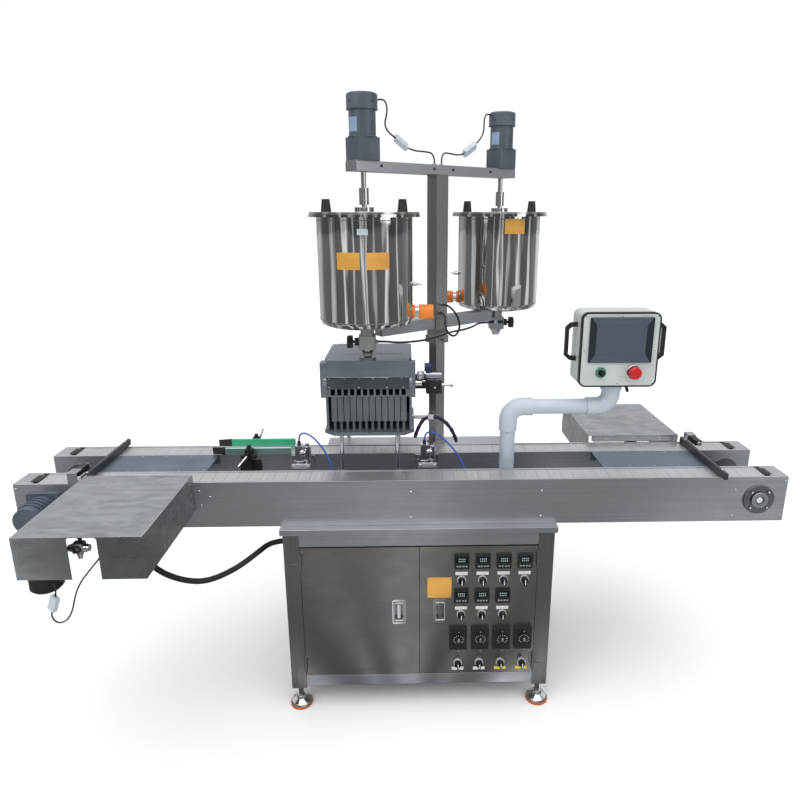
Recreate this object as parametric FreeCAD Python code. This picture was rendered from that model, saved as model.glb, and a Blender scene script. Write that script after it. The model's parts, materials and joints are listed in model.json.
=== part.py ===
# Lip balm filling machine: two slat conveyors on a stainless cabinet, a twelve pump
# filling head over the rear conveyor, two heated mixing tanks on a swivelling column,
# sheet metal pusher covers at opposite ends and an operator panel on an arm.
# Millimetres, +X along the conveyors to the right, +Y away from the operator, +Z up.
# The origin is on the floor below the middle of the machine.
import FreeCAD
import Part
import math
import os

V = FreeCAD.Vector
X_AXIS = V(1, 0, 0)
Y_AXIS = V(0, 1, 0)
Z_AXIS = V(0, 0, 1)

# Clearances
SEAT_GAP = 0.3
RUN_FIT = 0.05
SLIDE_FIT = 0.1

# Conveyors
conveyor_length = 2440.0
conveyor_top = 834.0
channel_height = 154.0
channel_width = 90.0
channel_gap = 145.0
channel_wall = 3.0
channel_lip = 7.0
end_cap_tongue = 54.0
slat_pitch = 38.1
slat_thickness = 3.0
slat_drop = 2.5
slat_side_gap = 0.5
slat_joint = 0.5
shaft_inset = 89.0
shaft_diameter = 20.0
bearing_cover_diameter = 98.0
bearing_cover_thickness = 6.0
bearing_hub_diameter = 33.0
bearing_hub_length = 4.0
sprocket_width = 24.0
sprocket_teeth = 12
strip_width = 14.0
strip_height = 12.0
strip_offset = 24.0
spacer_thickness = 12.0

# Transfer plates, stop bars and end sensors
transfer_length = 356.0
transfer_inner_end = 650.0
plate_thickness = 3.0
stop_bar_width = 12.0
stop_bar_height = 22.0
stop_bar_overhang = 22.0
sensor_length = 50.0

# Pusher covers
cover_width = 330.0
cover_depth = 388.0
cover_end_gap = 225.0
cover_top = 860.0
cover_bottom = 740.0
cover_wall = 2.0
cover_notch_width = 76.0
cover_notch_offset = 12.0
pusher_stroke = 235.0
pusher_width = 300.0
pusher_height = 22.0
pusher_thickness = 10.0
pusher_rod_diameter = 10.0
pusher_rod_spacing = 30.0
pusher_cylinder_width = 52.0
pusher_cylinder_height = 20.0
pusher_cylinder_length = 300.0
bracket_thickness = 6.0

# Cabinet
cabinet_width = 870.0
cabinet_depth = 600.0
cabinet_centre_x = 40.0
cabinet_front = -183.5
leg_size = 50.0
leg_wall = 2.0
leg_bottom = 79.0
table_thickness = 20.0
table_overhang = 8.0
rail_height = 45.0
bottom_rail_top = 128.0
bottom_rail_height = 40.0
panel_thickness = 1.5
panel_inset = 8.0
drive_gland_x = -903.0
drive_gland_z = 708.0
loom_gland_z = 790.0
left_stopper_x = -360.0
right_stopper_x = 71.0
air_fitting_places = [(-237.0, -26.0), (214.0, -20.0)]
loom_entry_y = -88.0
loom_entry_z = 588.0
loom_gland_length = 6.0
door_gap = 3.0
door_thickness = 18.0
door_sheet = 1.5
hinge_diameter = 10.0
hinge_height = 60.0
hinge_inset = 46.0
door_leaf_width = 14.0
frame_leaf_width = 26.0
handle_width = 36.0
handle_height = 78.0
foot_pad_diameter = 75.0
foot_pad_height = 9.0
foot_stem_diameter = 16.0

# Instruments on the right door
controller_size = 48.0
controller_depth = 9.0
speed_unit_width = 58.0
speed_unit_height = 82.0
speed_unit_depth = 12.0
instrument_pitch = 68.5
instrument_margin = 41.0
upper_row_z = 559.0
middle_row_z = 432.0
speed_row_z = 273.0
speed_margin = 37.6
speed_pitch = 72.3
upper_switch_z = 492.0
middle_switch_z = 363.0
lower_switch_z = 173.0
switch_collar_diameter = 29.0
switch_collar_depth = 5.0
switch_knob_diameter = 23.0
switch_knob_depth = 9.0
switch_grip_depth = 11.0
switch_grip_width = 7.0
label_plate_width = 40.0
label_plate_height = 12.0

# Rear deck and column
deck_left = -286.0
deck_right = 374.0
deck_depth = 75.0
deck_wall = 2.0
column_x = 110.0
column_y = 197.5
column_yaw = 38.0
gland_high_z = 1340.0
gland_low_z = 1313.0
lead_gland_z = 1968.0
lead_gland_offsets = [-15.0, 15.0]
valve_cable_end_y = 372.0
column_size = 40.0
column_wall = 3.0
column_spigot_diameter = 38.0
column_flange_diameter = 72.0
column_flange_thickness = 8.0
bearing_tube_diameter = 60.0
sleeve_size = 50.0
sleeve_bottom = 1204.0
lift_travel = 120.0
beam_bottom = 1764.0
beam_height = 30.0
beam_width = 60.0
beam_half_length = 340.0
beam_wall = 3.0
arm_size = 40.0
tank_reach = 296.0

# Tanks, lids and mixers
tank_bottom = 1302.0
tank_rim_top = 1640.0
tank_radius = 147.0
tank_jacket = 15.0
tank_floor = 18.0
tank_edge_round = 22.0
rim_radius = 170.0
rim_thickness = 8.0
lid_thickness = 6.5
lid_bore_radius = 22.0
lid_boss_radius = 30.0
lid_boss_height = 14.0
lid_knob_offset = 117.0
lid_knob_height = 38.0
lid_travel = 60.0
mixer_shaft_diameter = 16.0
mixer_coupling_diameter = 30.0
mixer_coupling_bottom = 1668.0
mixer_coupling_top = 1717.0
gearbox_size = 76.0
gearbox_height = 66.0
motor_diameter = 80.0
motor_height = 78.0
motor_cap_diameter = 92.0
motor_cap_height = 46.0
seat_plate_thickness = 6.0
outlet_end = 1197.0
outlet_diameter = 30.0
outlet_bore = 20.0
valve_block_size = 54.0
valve_block_height = 44.0
heater_z = 1340.0
heater_diameter = 46.0
heater_length = 66.0
probe_z = 1428.0
valve_knob_diameter = 44.0

# Filling head
head_width = 309.0
head_inner_width = 269.0
head_front = -12.0
head_depth = 276.0
head_top = 1186.0
head_top_plate = 6.0
air_arm_length = 34.0
air_body_length = 52.0
air_body_height = 46.0
air_body_bottom = 1074.0
air_hub = (86.0, 124.0, 950.0)
left_nozzle_path = [(-10, 0, 0), (-28, -10, -10), (-41, -20, -28), (-50, -28, -47), (-56, -34, -66)]
right_nozzle_path = [(10, 0, 0), (32, -2, -4), (54, -6, -20), (72, -10, -42), (84, -13, -66), (92, -15, -90)]
head_band_drop = 54.0
head_band_height = 41.0
head_slot_bottom = 1064.0
head_ear_bottom = 1062.0
pump_count = 12
pump_pitch = 21.0
pump_bottom = 972.0
pump_recess = 26.0
pump_depth = 60.0
base_plate_top = 942.0
base_plate_thickness = 11.0
base_plate_width = 300.0
base_plate_chamfer = 34.0
post_diameter = 14.0
post_spacing = 187.0
post_front_y = 6.0
post_rear_y = 250.0
nozzle_diameter = 8.0
nozzle_length = 26.0
inlet_flange_radius = 27.0

# Operator panel
panel_post_x = 340.0
panel_arm_z = 1024.0
panel_tube_diameter = 50.0
panel_elbow_diameter = 60.0
panel_x = 678.0
panel_neck_diameter = 68.0
panel_bottom = 1105.0
panel_width = 250.0
panel_height = 240.0
panel_depth = 110.0
panel_corner = 22.0
bezel_width = 202.0
bezel_height = 145.0
bezel_proud = 5.0
stop_button_x = 728.0
stop_button_z = 1154.0
panel_switch_x = 622.0
panel_switch_z = 1153.0
stop_button_diameter = 40.0
stop_travel = 5.0

# Worked out once
half_length = conveyor_length / 2
table_top = conveyor_top - channel_height
shaft_z = table_top + channel_height / 2
front_y = -(channel_gap + channel_width) / 2
rear_y = -front_y
front_face = front_y - channel_width / 2
rear_face = -front_face
gap_half = channel_gap / 2
shaft_x = half_length - shaft_inset
lip_opening = channel_width - 2 * channel_lip
slat_width = lip_opening - 2 * slat_side_gap
slat_top = conveyor_top - slat_drop
chain_radius = slat_top - shaft_z
cabinet_left = cabinet_centre_x - cabinet_width / 2
cabinet_right = cabinet_centre_x + cabinet_width / 2
cabinet_rear = cabinet_front + cabinet_depth
table_bottom = table_top - table_thickness
door_bottom = bottom_rail_top + door_gap
door_top = table_bottom - rail_height - door_gap
door_left_edge = cabinet_left + leg_size + 1.5
door_right_edge = cabinet_right - leg_size - 1.5
instrument_first_x = door_right_edge - instrument_margin - 3 * instrument_pitch
speed_first_x = door_right_edge - speed_margin - 3 * speed_pitch
yaw = math.radians(column_yaw)
left_tank = (column_x - tank_reach * math.cos(yaw), column_y - tank_reach * math.sin(yaw))
right_tank = (column_x + tank_reach * math.cos(yaw), column_y + tank_reach * math.sin(yaw))
head_x = left_tank[0]
head_rear = head_front + head_depth
deck_rear = rear_face + deck_depth
motor_base = beam_bottom + beam_height
lid_bottom = tank_rim_top + SEAT_GAP
lid_top = lid_bottom + lid_thickness
pusher_bottom = conveyor_top + 2.5
pusher_axis_z = pusher_bottom + pusher_height / 2
cover_inner_end = half_length - cover_end_gap - cover_width
head_band_top = head_top - head_band_drop
head_band_bottom = head_band_top - head_band_height
cover_middle_x = cover_inner_end + cover_width / 2
transfer_middle_x = transfer_inner_end + transfer_length / 2


def block(x0, x1, y0, y1, z0, z1):
    return Part.makeBox(x1 - x0, y1 - y0, z1 - z0, V(x0, y0, z0))


def rod(start, axis, radius, length):
    return Part.makeCylinder(radius, length, V(*start), axis)


def ring(start, axis, outer, inner, length):
    return rod(start, axis, outer, length).cut(rod(start, axis, inner, length))


def outline_prism(points, depth):
    """Extrude a closed outline of 3-D points along the vector depth."""
    corners = [V(*p) for p in points]
    wire = Part.makePolygon(corners + [corners[0]])
    return Part.Face(wire).extrude(depth)


def turned(profile, x, y):
    """Turn a closed outline of radius and height pairs about a vertical axis."""
    corners = [V(r, 0, z) for r, z in profile]
    wire = Part.makePolygon(corners + [corners[0]])
    solid = Part.Face(wire).revolve(V(0, 0, 0), Z_AXIS, 360)
    solid.translate(V(x, y, 0))
    return solid


def rounded_block(x0, x1, y0, y1, z0, z1, radius):
    """A block whose four edges along Y are rounded."""
    solid = block(x0, x1, y0, y1, z0, z1)
    edges = [e for e in solid.Edges if abs(e.tangentAt(e.FirstParameter).y) > 0.99]
    return solid.makeFillet(radius, edges)


def rounded_post(x0, x1, y0, y1, z0, z1, radius):
    """A block whose four upright edges are rounded."""
    solid = block(x0, x1, y0, y1, z0, z1)
    edges = [e for e in solid.Edges if abs(e.tangentAt(e.FirstParameter).z) > 0.99]
    return solid.makeFillet(radius, edges)


def half_turn(solids):
    """The same solids at the opposite corner of the machine."""
    return [s.rotated(V(0, 0, 0), Z_AXIS, 180) for s in solids]


def yawed(solids):
    """Turn solids that were drawn straight about the column to the column's yaw."""
    return [s.rotated(V(column_x, column_y, 0), Z_AXIS, column_yaw) for s in solids]


def fused(solids):
    whole = solids[0]
    for s in solids[1:]:
        whole = whole.fuse(s)
    return whole.removeSplitter()


def box_tube(x0, x1, y0, y1, z0, z1, wall, along):
    """A square tube, open at both ends along the named axis."""
    outer = block(x0, x1, y0, y1, z0, z1)
    ix = 0 if along == "x" else wall
    iy = 0 if along == "y" else wall
    iz = 0 if along == "z" else wall
    return outer.cut(block(x0 + ix, x1 - ix, y0 + iy, y1 - iy, z0 + iz, z1 - iz))


def cord_tube(points, radius):
    """A cord along straight runs and tangent arcs; prints its radii and its length."""
    pts = [V(*p) for p in points]
    edges = []
    radii = []
    last = pts[0]
    for i in range(1, len(pts) - 1):
        a = pts[i - 1] - pts[i]
        b = pts[i + 1] - pts[i]
        reach = 0.45 * min(a.Length, b.Length)
        ua = V(a).normalize()
        ub = V(b).normalize()
        turn = math.pi - ua.getAngle(ub)
        radii.append(reach / math.tan(turn / 2))
        p = pts[i] + ua * reach
        q = pts[i] + ub * reach
        mid_dir = (ua + ub).normalize()
        to_mid = radii[-1] * (1 / math.cos(turn / 2) - 1)
        mid = pts[i] + mid_dir * to_mid
        edges.append(Part.LineSegment(last, p).toShape())
        edges.append(Part.Arc(p, mid, q).toShape())
        last = q
    edges.append(Part.LineSegment(last, pts[-1]).toShape())
    path = Part.Wire(edges)
    heading = pts[1] - pts[0]
    disc = Part.Wire(Part.makeCircle(radius, pts[0], heading))
    solid = Part.Wire(path).makePipeShell([disc], True, False)
    expected = math.pi * radius ** 2 * path.Length
    print("cord length %.0f radii %s volume ratio %.4f"
          % (path.Length, [round(r) for r in radii], solid.Volume / expected))
    return solid


# Conveyors

def channel_side(outer_y, inward):
    """One long C shaped side wall with its lips and the two shaft holes."""
    wall = outer_y + inward * channel_wall
    lip = outer_y + inward * channel_lip
    x0 = -half_length + channel_wall
    t = channel_wall
    points = [(x0, outer_y, table_top), (x0, lip, table_top), (x0, lip, table_top + t),
              (x0, wall, table_top + t), (x0, wall, conveyor_top - t), (x0, lip, conveyor_top - t),
              (x0, lip, conveyor_top), (x0, outer_y, conveyor_top)]
    side = outline_prism(points, V(conveyor_length - 2 * channel_wall, 0, 0))
    for sx in (-1, 1):
        start = (sx * shaft_x, min(outer_y, wall) - 1, shaft_z)
        side = side.cut(rod(start, Y_AXIS, shaft_diameter / 2 + RUN_FIT, channel_wall + 2))
    return side


def channel(yc):
    half = channel_width / 2
    solids = [channel_side(yc - half, 1), channel_side(yc + half, -1)]
    for sx in (-1, 1):
        plate = block(0, channel_wall, yc - half, yc + half, table_top, conveyor_top)
        tongue = block(channel_wall, end_cap_tongue, yc - lip_opening / 2, yc + lip_opening / 2,
                       conveyor_top - channel_wall, conveyor_top)
        cap = plate.fuse(tongue)
        cap.translate(V(-half_length, 0, 0))
        if sx > 0:
            cap = cap.mirror(V(0, 0, 0), X_AXIS)
        solids.append(cap)
    strip_top = slat_top - slat_thickness - SEAT_GAP
    strip_end = shaft_x - 30
    for sy in (-1, 1):
        y = yc + sy * strip_offset
        solids.append(block(-strip_end, strip_end, y - strip_width / 2, y + strip_width / 2,
                            strip_top - strip_height, strip_top))
    inner = half - channel_wall
    for x in (-900, -450, 0, 450, 900):
        solids.append(block(x, x + spacer_thickness, yc - inner, yc + inner,
                            strip_top - strip_height - 70, strip_top - strip_height))
    return solids


def loop_place(s):
    """Place and tilt of a slat at the distance s along the chain loop."""
    run = 2 * shaft_x
    mid = chain_radius - slat_thickness / 2
    bend = math.pi * mid
    if s < run:
        return -shaft_x + s, shaft_z + mid, 0.0
    if s < run + bend:
        a = (s - run) / mid
        return shaft_x + mid * math.sin(a), shaft_z + mid * math.cos(a), math.degrees(a)
    if s < 2 * run + bend:
        return shaft_x - (s - run - bend), shaft_z - mid, 180.0
    a = (s - 2 * run - bend) / mid
    return -shaft_x - mid * math.sin(a), shaft_z - mid * math.cos(a), 180.0 + math.degrees(a)


def slat_chain(yc):
    loop = 4 * shaft_x + 2 * math.pi * (chain_radius - slat_thickness / 2)
    count = int(loop / slat_pitch)
    pitch = loop / count
    length = pitch - slat_joint
    slats = []
    for i in range(count):
        x, z, tilt = loop_place(i * pitch)
        slat = Part.makeBox(length, slat_width, slat_thickness,
                            V(-length / 2, -slat_width / 2, -slat_thickness / 2))
        slat.rotate(V(0, 0, 0), Y_AXIS, tilt)
        slat.translate(V(x, yc, z))
        slats.append(slat)
    return slats


def bearing_cover(x, face_y, outward):
    """Round cover with a raised hub; the hub carries the shaft end."""
    bore = shaft_diameter / 2 + RUN_FIT
    axis = V(0, outward, 0)
    disc = rod((x, face_y, shaft_z), axis, bearing_cover_diameter / 2, bearing_cover_thickness)
    hub_y = face_y + outward * bearing_cover_thickness
    hub = rod((x, hub_y, shaft_z), axis, bearing_hub_diameter / 2, bearing_hub_length)
    hole = rod((x, face_y, shaft_z), axis, bore, bearing_cover_thickness + bearing_hub_length)
    return disc.fuse(hub).cut(hole)


def bearing_covers():
    half = channel_width / 2
    outer = front_y - half
    front = [bearing_cover(shaft_x, outer, -1), bearing_cover(shaft_x, front_y + half, 1),
             bearing_cover(-shaft_x, front_y + half, 1)]
    return front + half_turn(front)


def conveyor_shaft(yc, x, near_motor, far_motor):
    """Shaft with its toothed wheel; the ends run in the bearing covers."""
    half = channel_width / 2
    reach = half + bearing_cover_thickness + bearing_hub_length - 1
    stub = half - SEAT_GAP
    start = yc - (stub if near_motor else reach)
    end = yc + (stub if far_motor else reach)
    shaft = rod((x, start, shaft_z), Y_AXIS, shaft_diameter / 2, end - start)
    tip = chain_radius - slat_thickness - 0.8
    root = tip - 9
    points = []
    for i in range(sprocket_teeth):
        a = 2 * math.pi * i / sprocket_teeth
        step = 2 * math.pi / sprocket_teeth
        for part, r in ((0.0, tip), (0.25, tip), (0.45, root), (0.8, root)):
            t = a + part * step
            points.append((x + r * math.cos(t), yc - sprocket_width / 2, shaft_z + r * math.sin(t)))
    wheel = outline_prism(points, V(0, sprocket_width, 0))
    return [shaft.fuse(wheel)]


def drive_gearmotor():
    """Right angle gearmotor on the outer face of the front channel, motor hanging down."""
    x = -shaft_x
    y = front_face
    size = bearing_cover_diameter
    flange = rounded_block(x - size / 2, x + size / 2, y - 10, y, shaft_z - size / 2, shaft_z + size / 2, 8)
    body = rod((x, y - 102, shaft_z), Y_AXIS, 42, 92)
    ribs = [ring((x, y - 30 - 16 * i, shaft_z), Y_AXIS, 46, 41, 6) for i in range(4)]
    motor_y = y - 58
    neck = rod((x, motor_y, shaft_z - 74), Z_AXIS, 36, 74)
    motor = rod((x, motor_y, 560), Z_AXIS, 43, shaft_z - 74 - 560)
    cap = turned([(0, 508), (40, 508), (49, 517), (49, 560), (0, 560)], x, motor_y)
    gland = rod((x + 30, motor_y - 30, 548), V(1, -1, 0), 5, 14.5)
    return [fused([flange, body, neck, motor, cap, gland] + ribs)]


# Pieces between and on the conveyors

def transfer_plate():
    x0 = transfer_inner_end
    x1 = x0 + transfer_length
    t = plate_thickness
    top = block(x0, x1, -gap_half, gap_half, conveyor_top - t, conveyor_top)
    near = block(x0, x1, -gap_half, -gap_half + t, conveyor_top - 34, conveyor_top - t)
    far = block(x0, x1, gap_half - t, gap_half, conveyor_top - 34, conveyor_top - t)
    return [top, near, far]


def stop_bar():
    x0 = transfer_inner_end + transfer_length - stop_bar_width / 2
    near = front_face - stop_bar_overhang
    far = rear_face - 6
    bar = block(x0, x0 + stop_bar_width, near, far, conveyor_top, conveyor_top + stop_bar_height)
    top_edges = [e for e in bar.Edges if e.BoundBox.YLength > 1 and e.BoundBox.ZMin > conveyor_top + 1]
    return [bar.makeChamfer(2, top_edges)]


def end_sensor():
    """Reflex sensor on a bent bracket beside the stop bar, over the rear conveyor."""
    x0 = transfer_inner_end + transfer_length + stop_bar_width
    z = conveyor_top
    foot = block(x0, x0 + 30, rear_face - channel_lip, rear_face + 4, z, z + 3)
    stem = block(x0, x0 + 30, rear_face + 1, rear_face + 4, z + 3, z + 34)
    arm = block(x0, x0 + 30, rear_face - 34, rear_face + 4, z + 34, z + 37)
    body = block(x0 + 4, x0 + 26, rear_face - 34 - sensor_length, rear_face - 20, z + 16, z + 34)
    lens = rod((x0 + 15, rear_face - 34 - sensor_length - 12, z + 25), Y_AXIS, 7, 12)
    return [fused([foot, stem, arm]), body, lens]


def guide_rail(y0, y1, outer_y, side):
    """Product rail with its dark lead-in block, clamp, rod and bracket."""
    x0 = -674
    x1 = -401
    z0 = conveyor_top + SEAT_GAP
    z1 = z0 + 25
    lead = 46
    rail = block(x0 + lead, x1, y0, y1, z0, z1)
    top_edges = [e for e in rail.Edges if e.BoundBox.XLength > 20 and e.BoundBox.ZMin > z0 + 5]
    rail = rail.makeFillet(3, top_edges)
    nose = outline_prism([(x0, y0 if side > 0 else y1, z0), (x0 + lead, y0, z0), (x0 + lead, y1, z0)],
                         V(0, 0, 25))
    clamp_y0 = y1 if side > 0 else y0 - 20
    clamp = block(-556, -530, clamp_y0, clamp_y0 + 20, z0 - 2, z1 + 2)
    bracket_y0 = outer_y if side > 0 else outer_y - 5
    bracket = block(-580, -506, bracket_y0, bracket_y0 + 5, conveyor_top - 60, conveyor_top - 20)
    post_y0 = outer_y + 5 if side > 0 else outer_y - 17
    post = block(-549, -537, post_y0, post_y0 + 12, conveyor_top - 56, z1 + 14)
    reach_y = post_y0 + 6
    bar_start = min(reach_y, clamp_y0 + 10)
    bar_end = max(reach_y + side * 30, clamp_y0 + 10)
    bar_start = min(bar_start, reach_y + side * 30)
    bar = rod((-543, bar_start, z0 + 12), Y_AXIS, 4, bar_end - bar_start)
    return [rail, nose, fused([clamp, bar, post, bracket])]


def guide_rails():
    inner = rear_y - lip_opening / 2
    outer = rear_y + lip_opening / 2
    near = guide_rail(inner - 10, inner, gap_half, -1)
    far = guide_rail(outer, outer + 10, rear_face, 1)
    return near + far


def stopper(x):
    """Air cylinder on a drilled plate that reaches over the rear channel from the gap."""
    z = conveyor_top
    face = gap_half
    bracket = block(x - 41, x + 41, face - 5, face, z - 34, z - 4)
    hole_a = rod((x - 30, face - 6, z - 19), Y_AXIS, 5, 7)
    hole_b = rod((x + 30, face - 6, z - 19), Y_AXIS, 5, 7)
    bracket = bracket.cut(hole_a).cut(hole_b)
    body = block(x - 22, x + 4, face - 33, face - 5, z - 30, z + 42)
    tube = rod((x + 18, face - 19, z - 26), Z_AXIS, 13, 62)
    nose = rod((x + 18, face - 19, z + 36), Z_AXIS, 8, 10)
    lug = block(x + 3, x + 10, face - 28, face - 5, z - 20, z + 20)
    fitting = rod((x - 9, face - 19, z + 42), Z_AXIS, 6, 12)
    return [bracket, fused([body, lug, tube, nose]), fitting]


def pusher_cover():
    """Folded box cover, open below and towards the conveyor, notched at the front."""
    x0 = -cover_inner_end - cover_width
    x1 = -cover_inner_end
    y1 = front_face
    y0 = y1 - cover_depth
    w = cover_wall
    shell = block(x0, x1, y0, y1, cover_bottom, cover_top)
    shell = shell.cut(block(x0 + w, x1 - w, y0 + w, y1, cover_bottom, cover_top - w))
    notch_x = -cover_middle_x + cover_notch_offset
    notch = rounded_block(notch_x - cover_notch_width / 2, notch_x + cover_notch_width / 2,
                          y0 - 1, y0 + w + 1, cover_bottom - 20, cover_top - w, 8)
    return [shell.cut(notch)]


def pusher_cylinder():
    """Twin rod air cylinder on its bracket, fixed to the channel inside the cover."""
    x = -cover_middle_x
    y1 = front_face - 40
    y0 = y1 - pusher_cylinder_length
    half = pusher_cylinder_width / 2
    z0 = pusher_axis_z - pusher_cylinder_height / 2
    body = block(x - half, x + half, y0, y1, z0, z0 + pusher_cylinder_height)
    for sx in (-1, 1):
        hole = rod((x + sx * pusher_rod_spacing / 2, y0 + 30, pusher_axis_z), Y_AXIS,
                   pusher_rod_diameter / 2 + RUN_FIT, pusher_cylinder_length)
        body = body.cut(hole)
    arm_top = conveyor_top - 4
    arm = block(x - 20, x + 20, y0 + 20, front_face, arm_top - 8, arm_top)
    leg = block(x - 20, x + 20, front_face - bracket_thickness, front_face, arm_top - 66, arm_top - 8)
    rests = [block(x - 20, x + 20, y, y + 30, arm_top, z0) for y in (y0 + 30, y1 - 40)]
    port = rod((x - 12, y0 - 16, pusher_axis_z - 2), Y_AXIS, 7, 16)
    elbow = rod((x - 12, y0 - 9, pusher_axis_z - 34), Z_AXIS, 5, 30)
    return [body, arm, leg, fused([port, elbow])] + rests


def pusher():
    """Push plate and its two rods, drawn back at rest."""
    x = -cover_middle_x
    y1 = front_face - SEAT_GAP - 2
    y0 = y1 - pusher_thickness
    plate = block(x - pusher_width / 2, x + pusher_width / 2, y0, y1, pusher_bottom,
                  pusher_bottom + pusher_height - 1)
    rods = []
    back = front_face - 40 - pusher_cylinder_length + 32
    for sx in (-1, 1):
        rods.append(rod((x + sx * pusher_rod_spacing / 2, back, pusher_axis_z), Y_AXIS,
                        pusher_rod_diameter / 2, y0 - back))
    return [fused([plate] + rods)]


# Cabinet

def cabinet_frame():
    s = leg_size
    xs = (cabinet_left, cabinet_right - s)
    ys = (cabinet_front, cabinet_rear - s)
    legs = [box_tube(x, x + s, y, y + s, leg_bottom, table_bottom, leg_wall, "z") for x in xs for y in ys]
    rails = []
    levels = ((table_bottom - rail_height, table_bottom),
              (bottom_rail_top - bottom_rail_height, bottom_rail_top))
    for z0, z1 in levels:
        for y in ys:
            rails.append(box_tube(xs[0] + s, xs[1], y + 2, y + s - 8, z0, z1, leg_wall, "x"))
        for x in xs:
            rails.append(box_tube(x + 4, x + s - 4, ys[0] + s, ys[1], z0, z1, leg_wall, "y"))
    plates = [block(x, x + s, y, y + s, leg_bottom, leg_bottom + 6) for x in xs for y in ys]
    plates = [p.cut(rod((p.BoundBox.Center.x, p.BoundBox.Center.y, leg_bottom), Z_AXIS,
                        foot_stem_diameter / 2 + RUN_FIT, 6)) for p in plates]
    return [fused([leg, plate]) for leg, plate in zip(legs, plates)] + rails


def cabinet_panels():
    t = panel_thickness
    s = leg_size
    z0 = bottom_rail_top
    z1 = table_bottom - rail_height
    y0 = cabinet_front + s
    y1 = cabinet_rear - s
    i = panel_inset
    left = block(cabinet_left + i, cabinet_left + i + t, y0, y1, z0, z1)
    right = block(cabinet_right - i - t, cabinet_right - i, y0, y1, z0, z1)
    back = block(cabinet_left + s, cabinet_right - s, cabinet_rear - 12 - t, cabinet_rear - 12, z0, z1)
    floor = block(cabinet_left + panel_inset + t, cabinet_right - panel_inset - t, y0, y1, z0, z0 + t)
    gland = rod((cabinet_left + panel_inset, loom_entry_y, loom_entry_z), V(-1, 0, 0), 17, loom_gland_length)
    o = table_overhang
    top = block(cabinet_left - o, cabinet_right + o, cabinet_front - o, cabinet_rear + o,
                table_bottom, table_top)
    inner = block(cabinet_left - o + 2, cabinet_right + o - 2, cabinet_front - o + 2,
                  cabinet_rear + o - 2, table_bottom, table_top - 3)
    stiff_a = block(cabinet_left, cabinet_left + 30, cabinet_front, cabinet_rear, table_bottom, table_top - 3)
    stiff_b = block(cabinet_right - 30, cabinet_right, cabinet_front, cabinet_rear, table_bottom, table_top - 3)
    table = fused([top.cut(inner), stiff_a, stiff_b])
    fittings = [rod((x, y, table_top - 1), Z_AXIS, 7, 9) for x, y in air_fitting_places]
    return [left, right, back, floor, fused([table] + fittings), gland]


def levelling_feet():
    solids = []
    r = foot_pad_diameter / 2
    h = foot_pad_height
    stem = foot_stem_diameter / 2
    half = leg_size / 2
    for x in (cabinet_left + half, cabinet_right - half):
        for y in (cabinet_front + half, cabinet_rear - half):
            pad = turned([(0, 0), (r, 0), (r, h), (0, h)], x, y)
            dome = turned([(0, h), (r - 2, h), (r - 4, h + 7), (r - 14, h + 13), (17, h + 17),
                           (13, h + 26), (0, h + 26)], x, y)
            stud = rod((x, y, h + 26), Z_AXIS, stem, leg_bottom - h - 26 + 20)
            nut = outline_prism([(x + 14 * math.cos(math.radians(60 * i)),
                                  y + 14 * math.sin(math.radians(60 * i)), leg_bottom - 10)
                                 for i in range(6)], V(0, 0, 10))
            nut = nut.cut(rod((x, y, leg_bottom - 10), Z_AXIS, stem, 10))
            solids += [pad, dome, stud, nut]
    return solids


def door(x0, x1, hinge_x, latch_x):
    """Pan shaped door with hinge barrels and a recessed pull."""
    y0 = cabinet_front
    pan = block(x0, x1, y0, y0 + door_thickness, door_bottom, door_top)
    t = door_sheet
    pan = pan.cut(block(x0 + t, x1 - t, y0 + t, y0 + door_thickness, door_bottom + t, door_top - t))
    pull_z = (door_bottom + door_top) / 2 + 3
    hw = handle_width / 2
    hh = handle_height / 2
    pan = pan.cut(block(latch_x - hw + 3, latch_x + hw - 3, y0, y0 + t, pull_z - hh + 3, pull_z + hh - 3))
    frame = block(latch_x - hw, latch_x + hw, y0 - 2, y0, pull_z - hh, pull_z + hh)
    frame = frame.cut(block(latch_x - hw + 3, latch_x + hw - 3, y0 - 2, y0, pull_z - hh + 3, pull_z + hh - 3))
    cup = block(latch_x - hw + 1, latch_x + hw - 1, y0 + t, y0 + 14, pull_z - hh + 1, pull_z + hh - 1)
    cup = cup.cut(block(latch_x - hw + 3, latch_x + hw - 3, y0 + t, y0 + 12.5, pull_z - hh + 3, pull_z + hh - 3))
    paddle = block(latch_x - 5, latch_x + 5, y0 + 1, y0 + 12.5, pull_z - 26, pull_z + 26)
    solids = [pan, frame, cup, paddle]
    r = hinge_diameter / 2
    for z in (door_bottom + hinge_inset, door_top - hinge_inset):
        barrel = ring((hinge_x, y0 - r, z - hinge_height / 2 + hinge_height / 3), Z_AXIS, r - 0.4, 3 + RUN_FIT,
                      hinge_height / 3 * 2)
        leaf_x0 = hinge_x if latch_x > hinge_x else hinge_x - door_leaf_width
        leaf = block(leaf_x0, leaf_x0 + door_leaf_width, y0 - 2, y0, z - hinge_height / 6, z + hinge_height / 2)
        leaf = leaf.cut(rod((hinge_x, y0 - r, z - hinge_height), Z_AXIS, 3 + RUN_FIT, 2 * hinge_height))
        solids.append(fused([barrel, leaf]))
    return solids


def hinge_pins(hinge_x, side):
    """Frame side of the two door hinges: the pin, its lower knuckle and its leaf."""
    solids = []
    y0 = cabinet_front
    r = hinge_diameter / 2
    for z in (door_bottom + hinge_inset, door_top - hinge_inset):
        low = z - hinge_height / 2
        knuckle = rod((hinge_x, y0 - r, low), Z_AXIS, r - 0.4, hinge_height / 3 - SEAT_GAP)
        pin = rod((hinge_x, y0 - r, low), Z_AXIS, 3, hinge_height)
        leaf_x0 = min(hinge_x, hinge_x + side * frame_leaf_width)
        leaf = block(leaf_x0, leaf_x0 + frame_leaf_width, y0 - 2, y0, low, low + hinge_height / 3 - SEAT_GAP)
        solids.append(fused([knuckle, pin, leaf]))
    return solids


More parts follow.
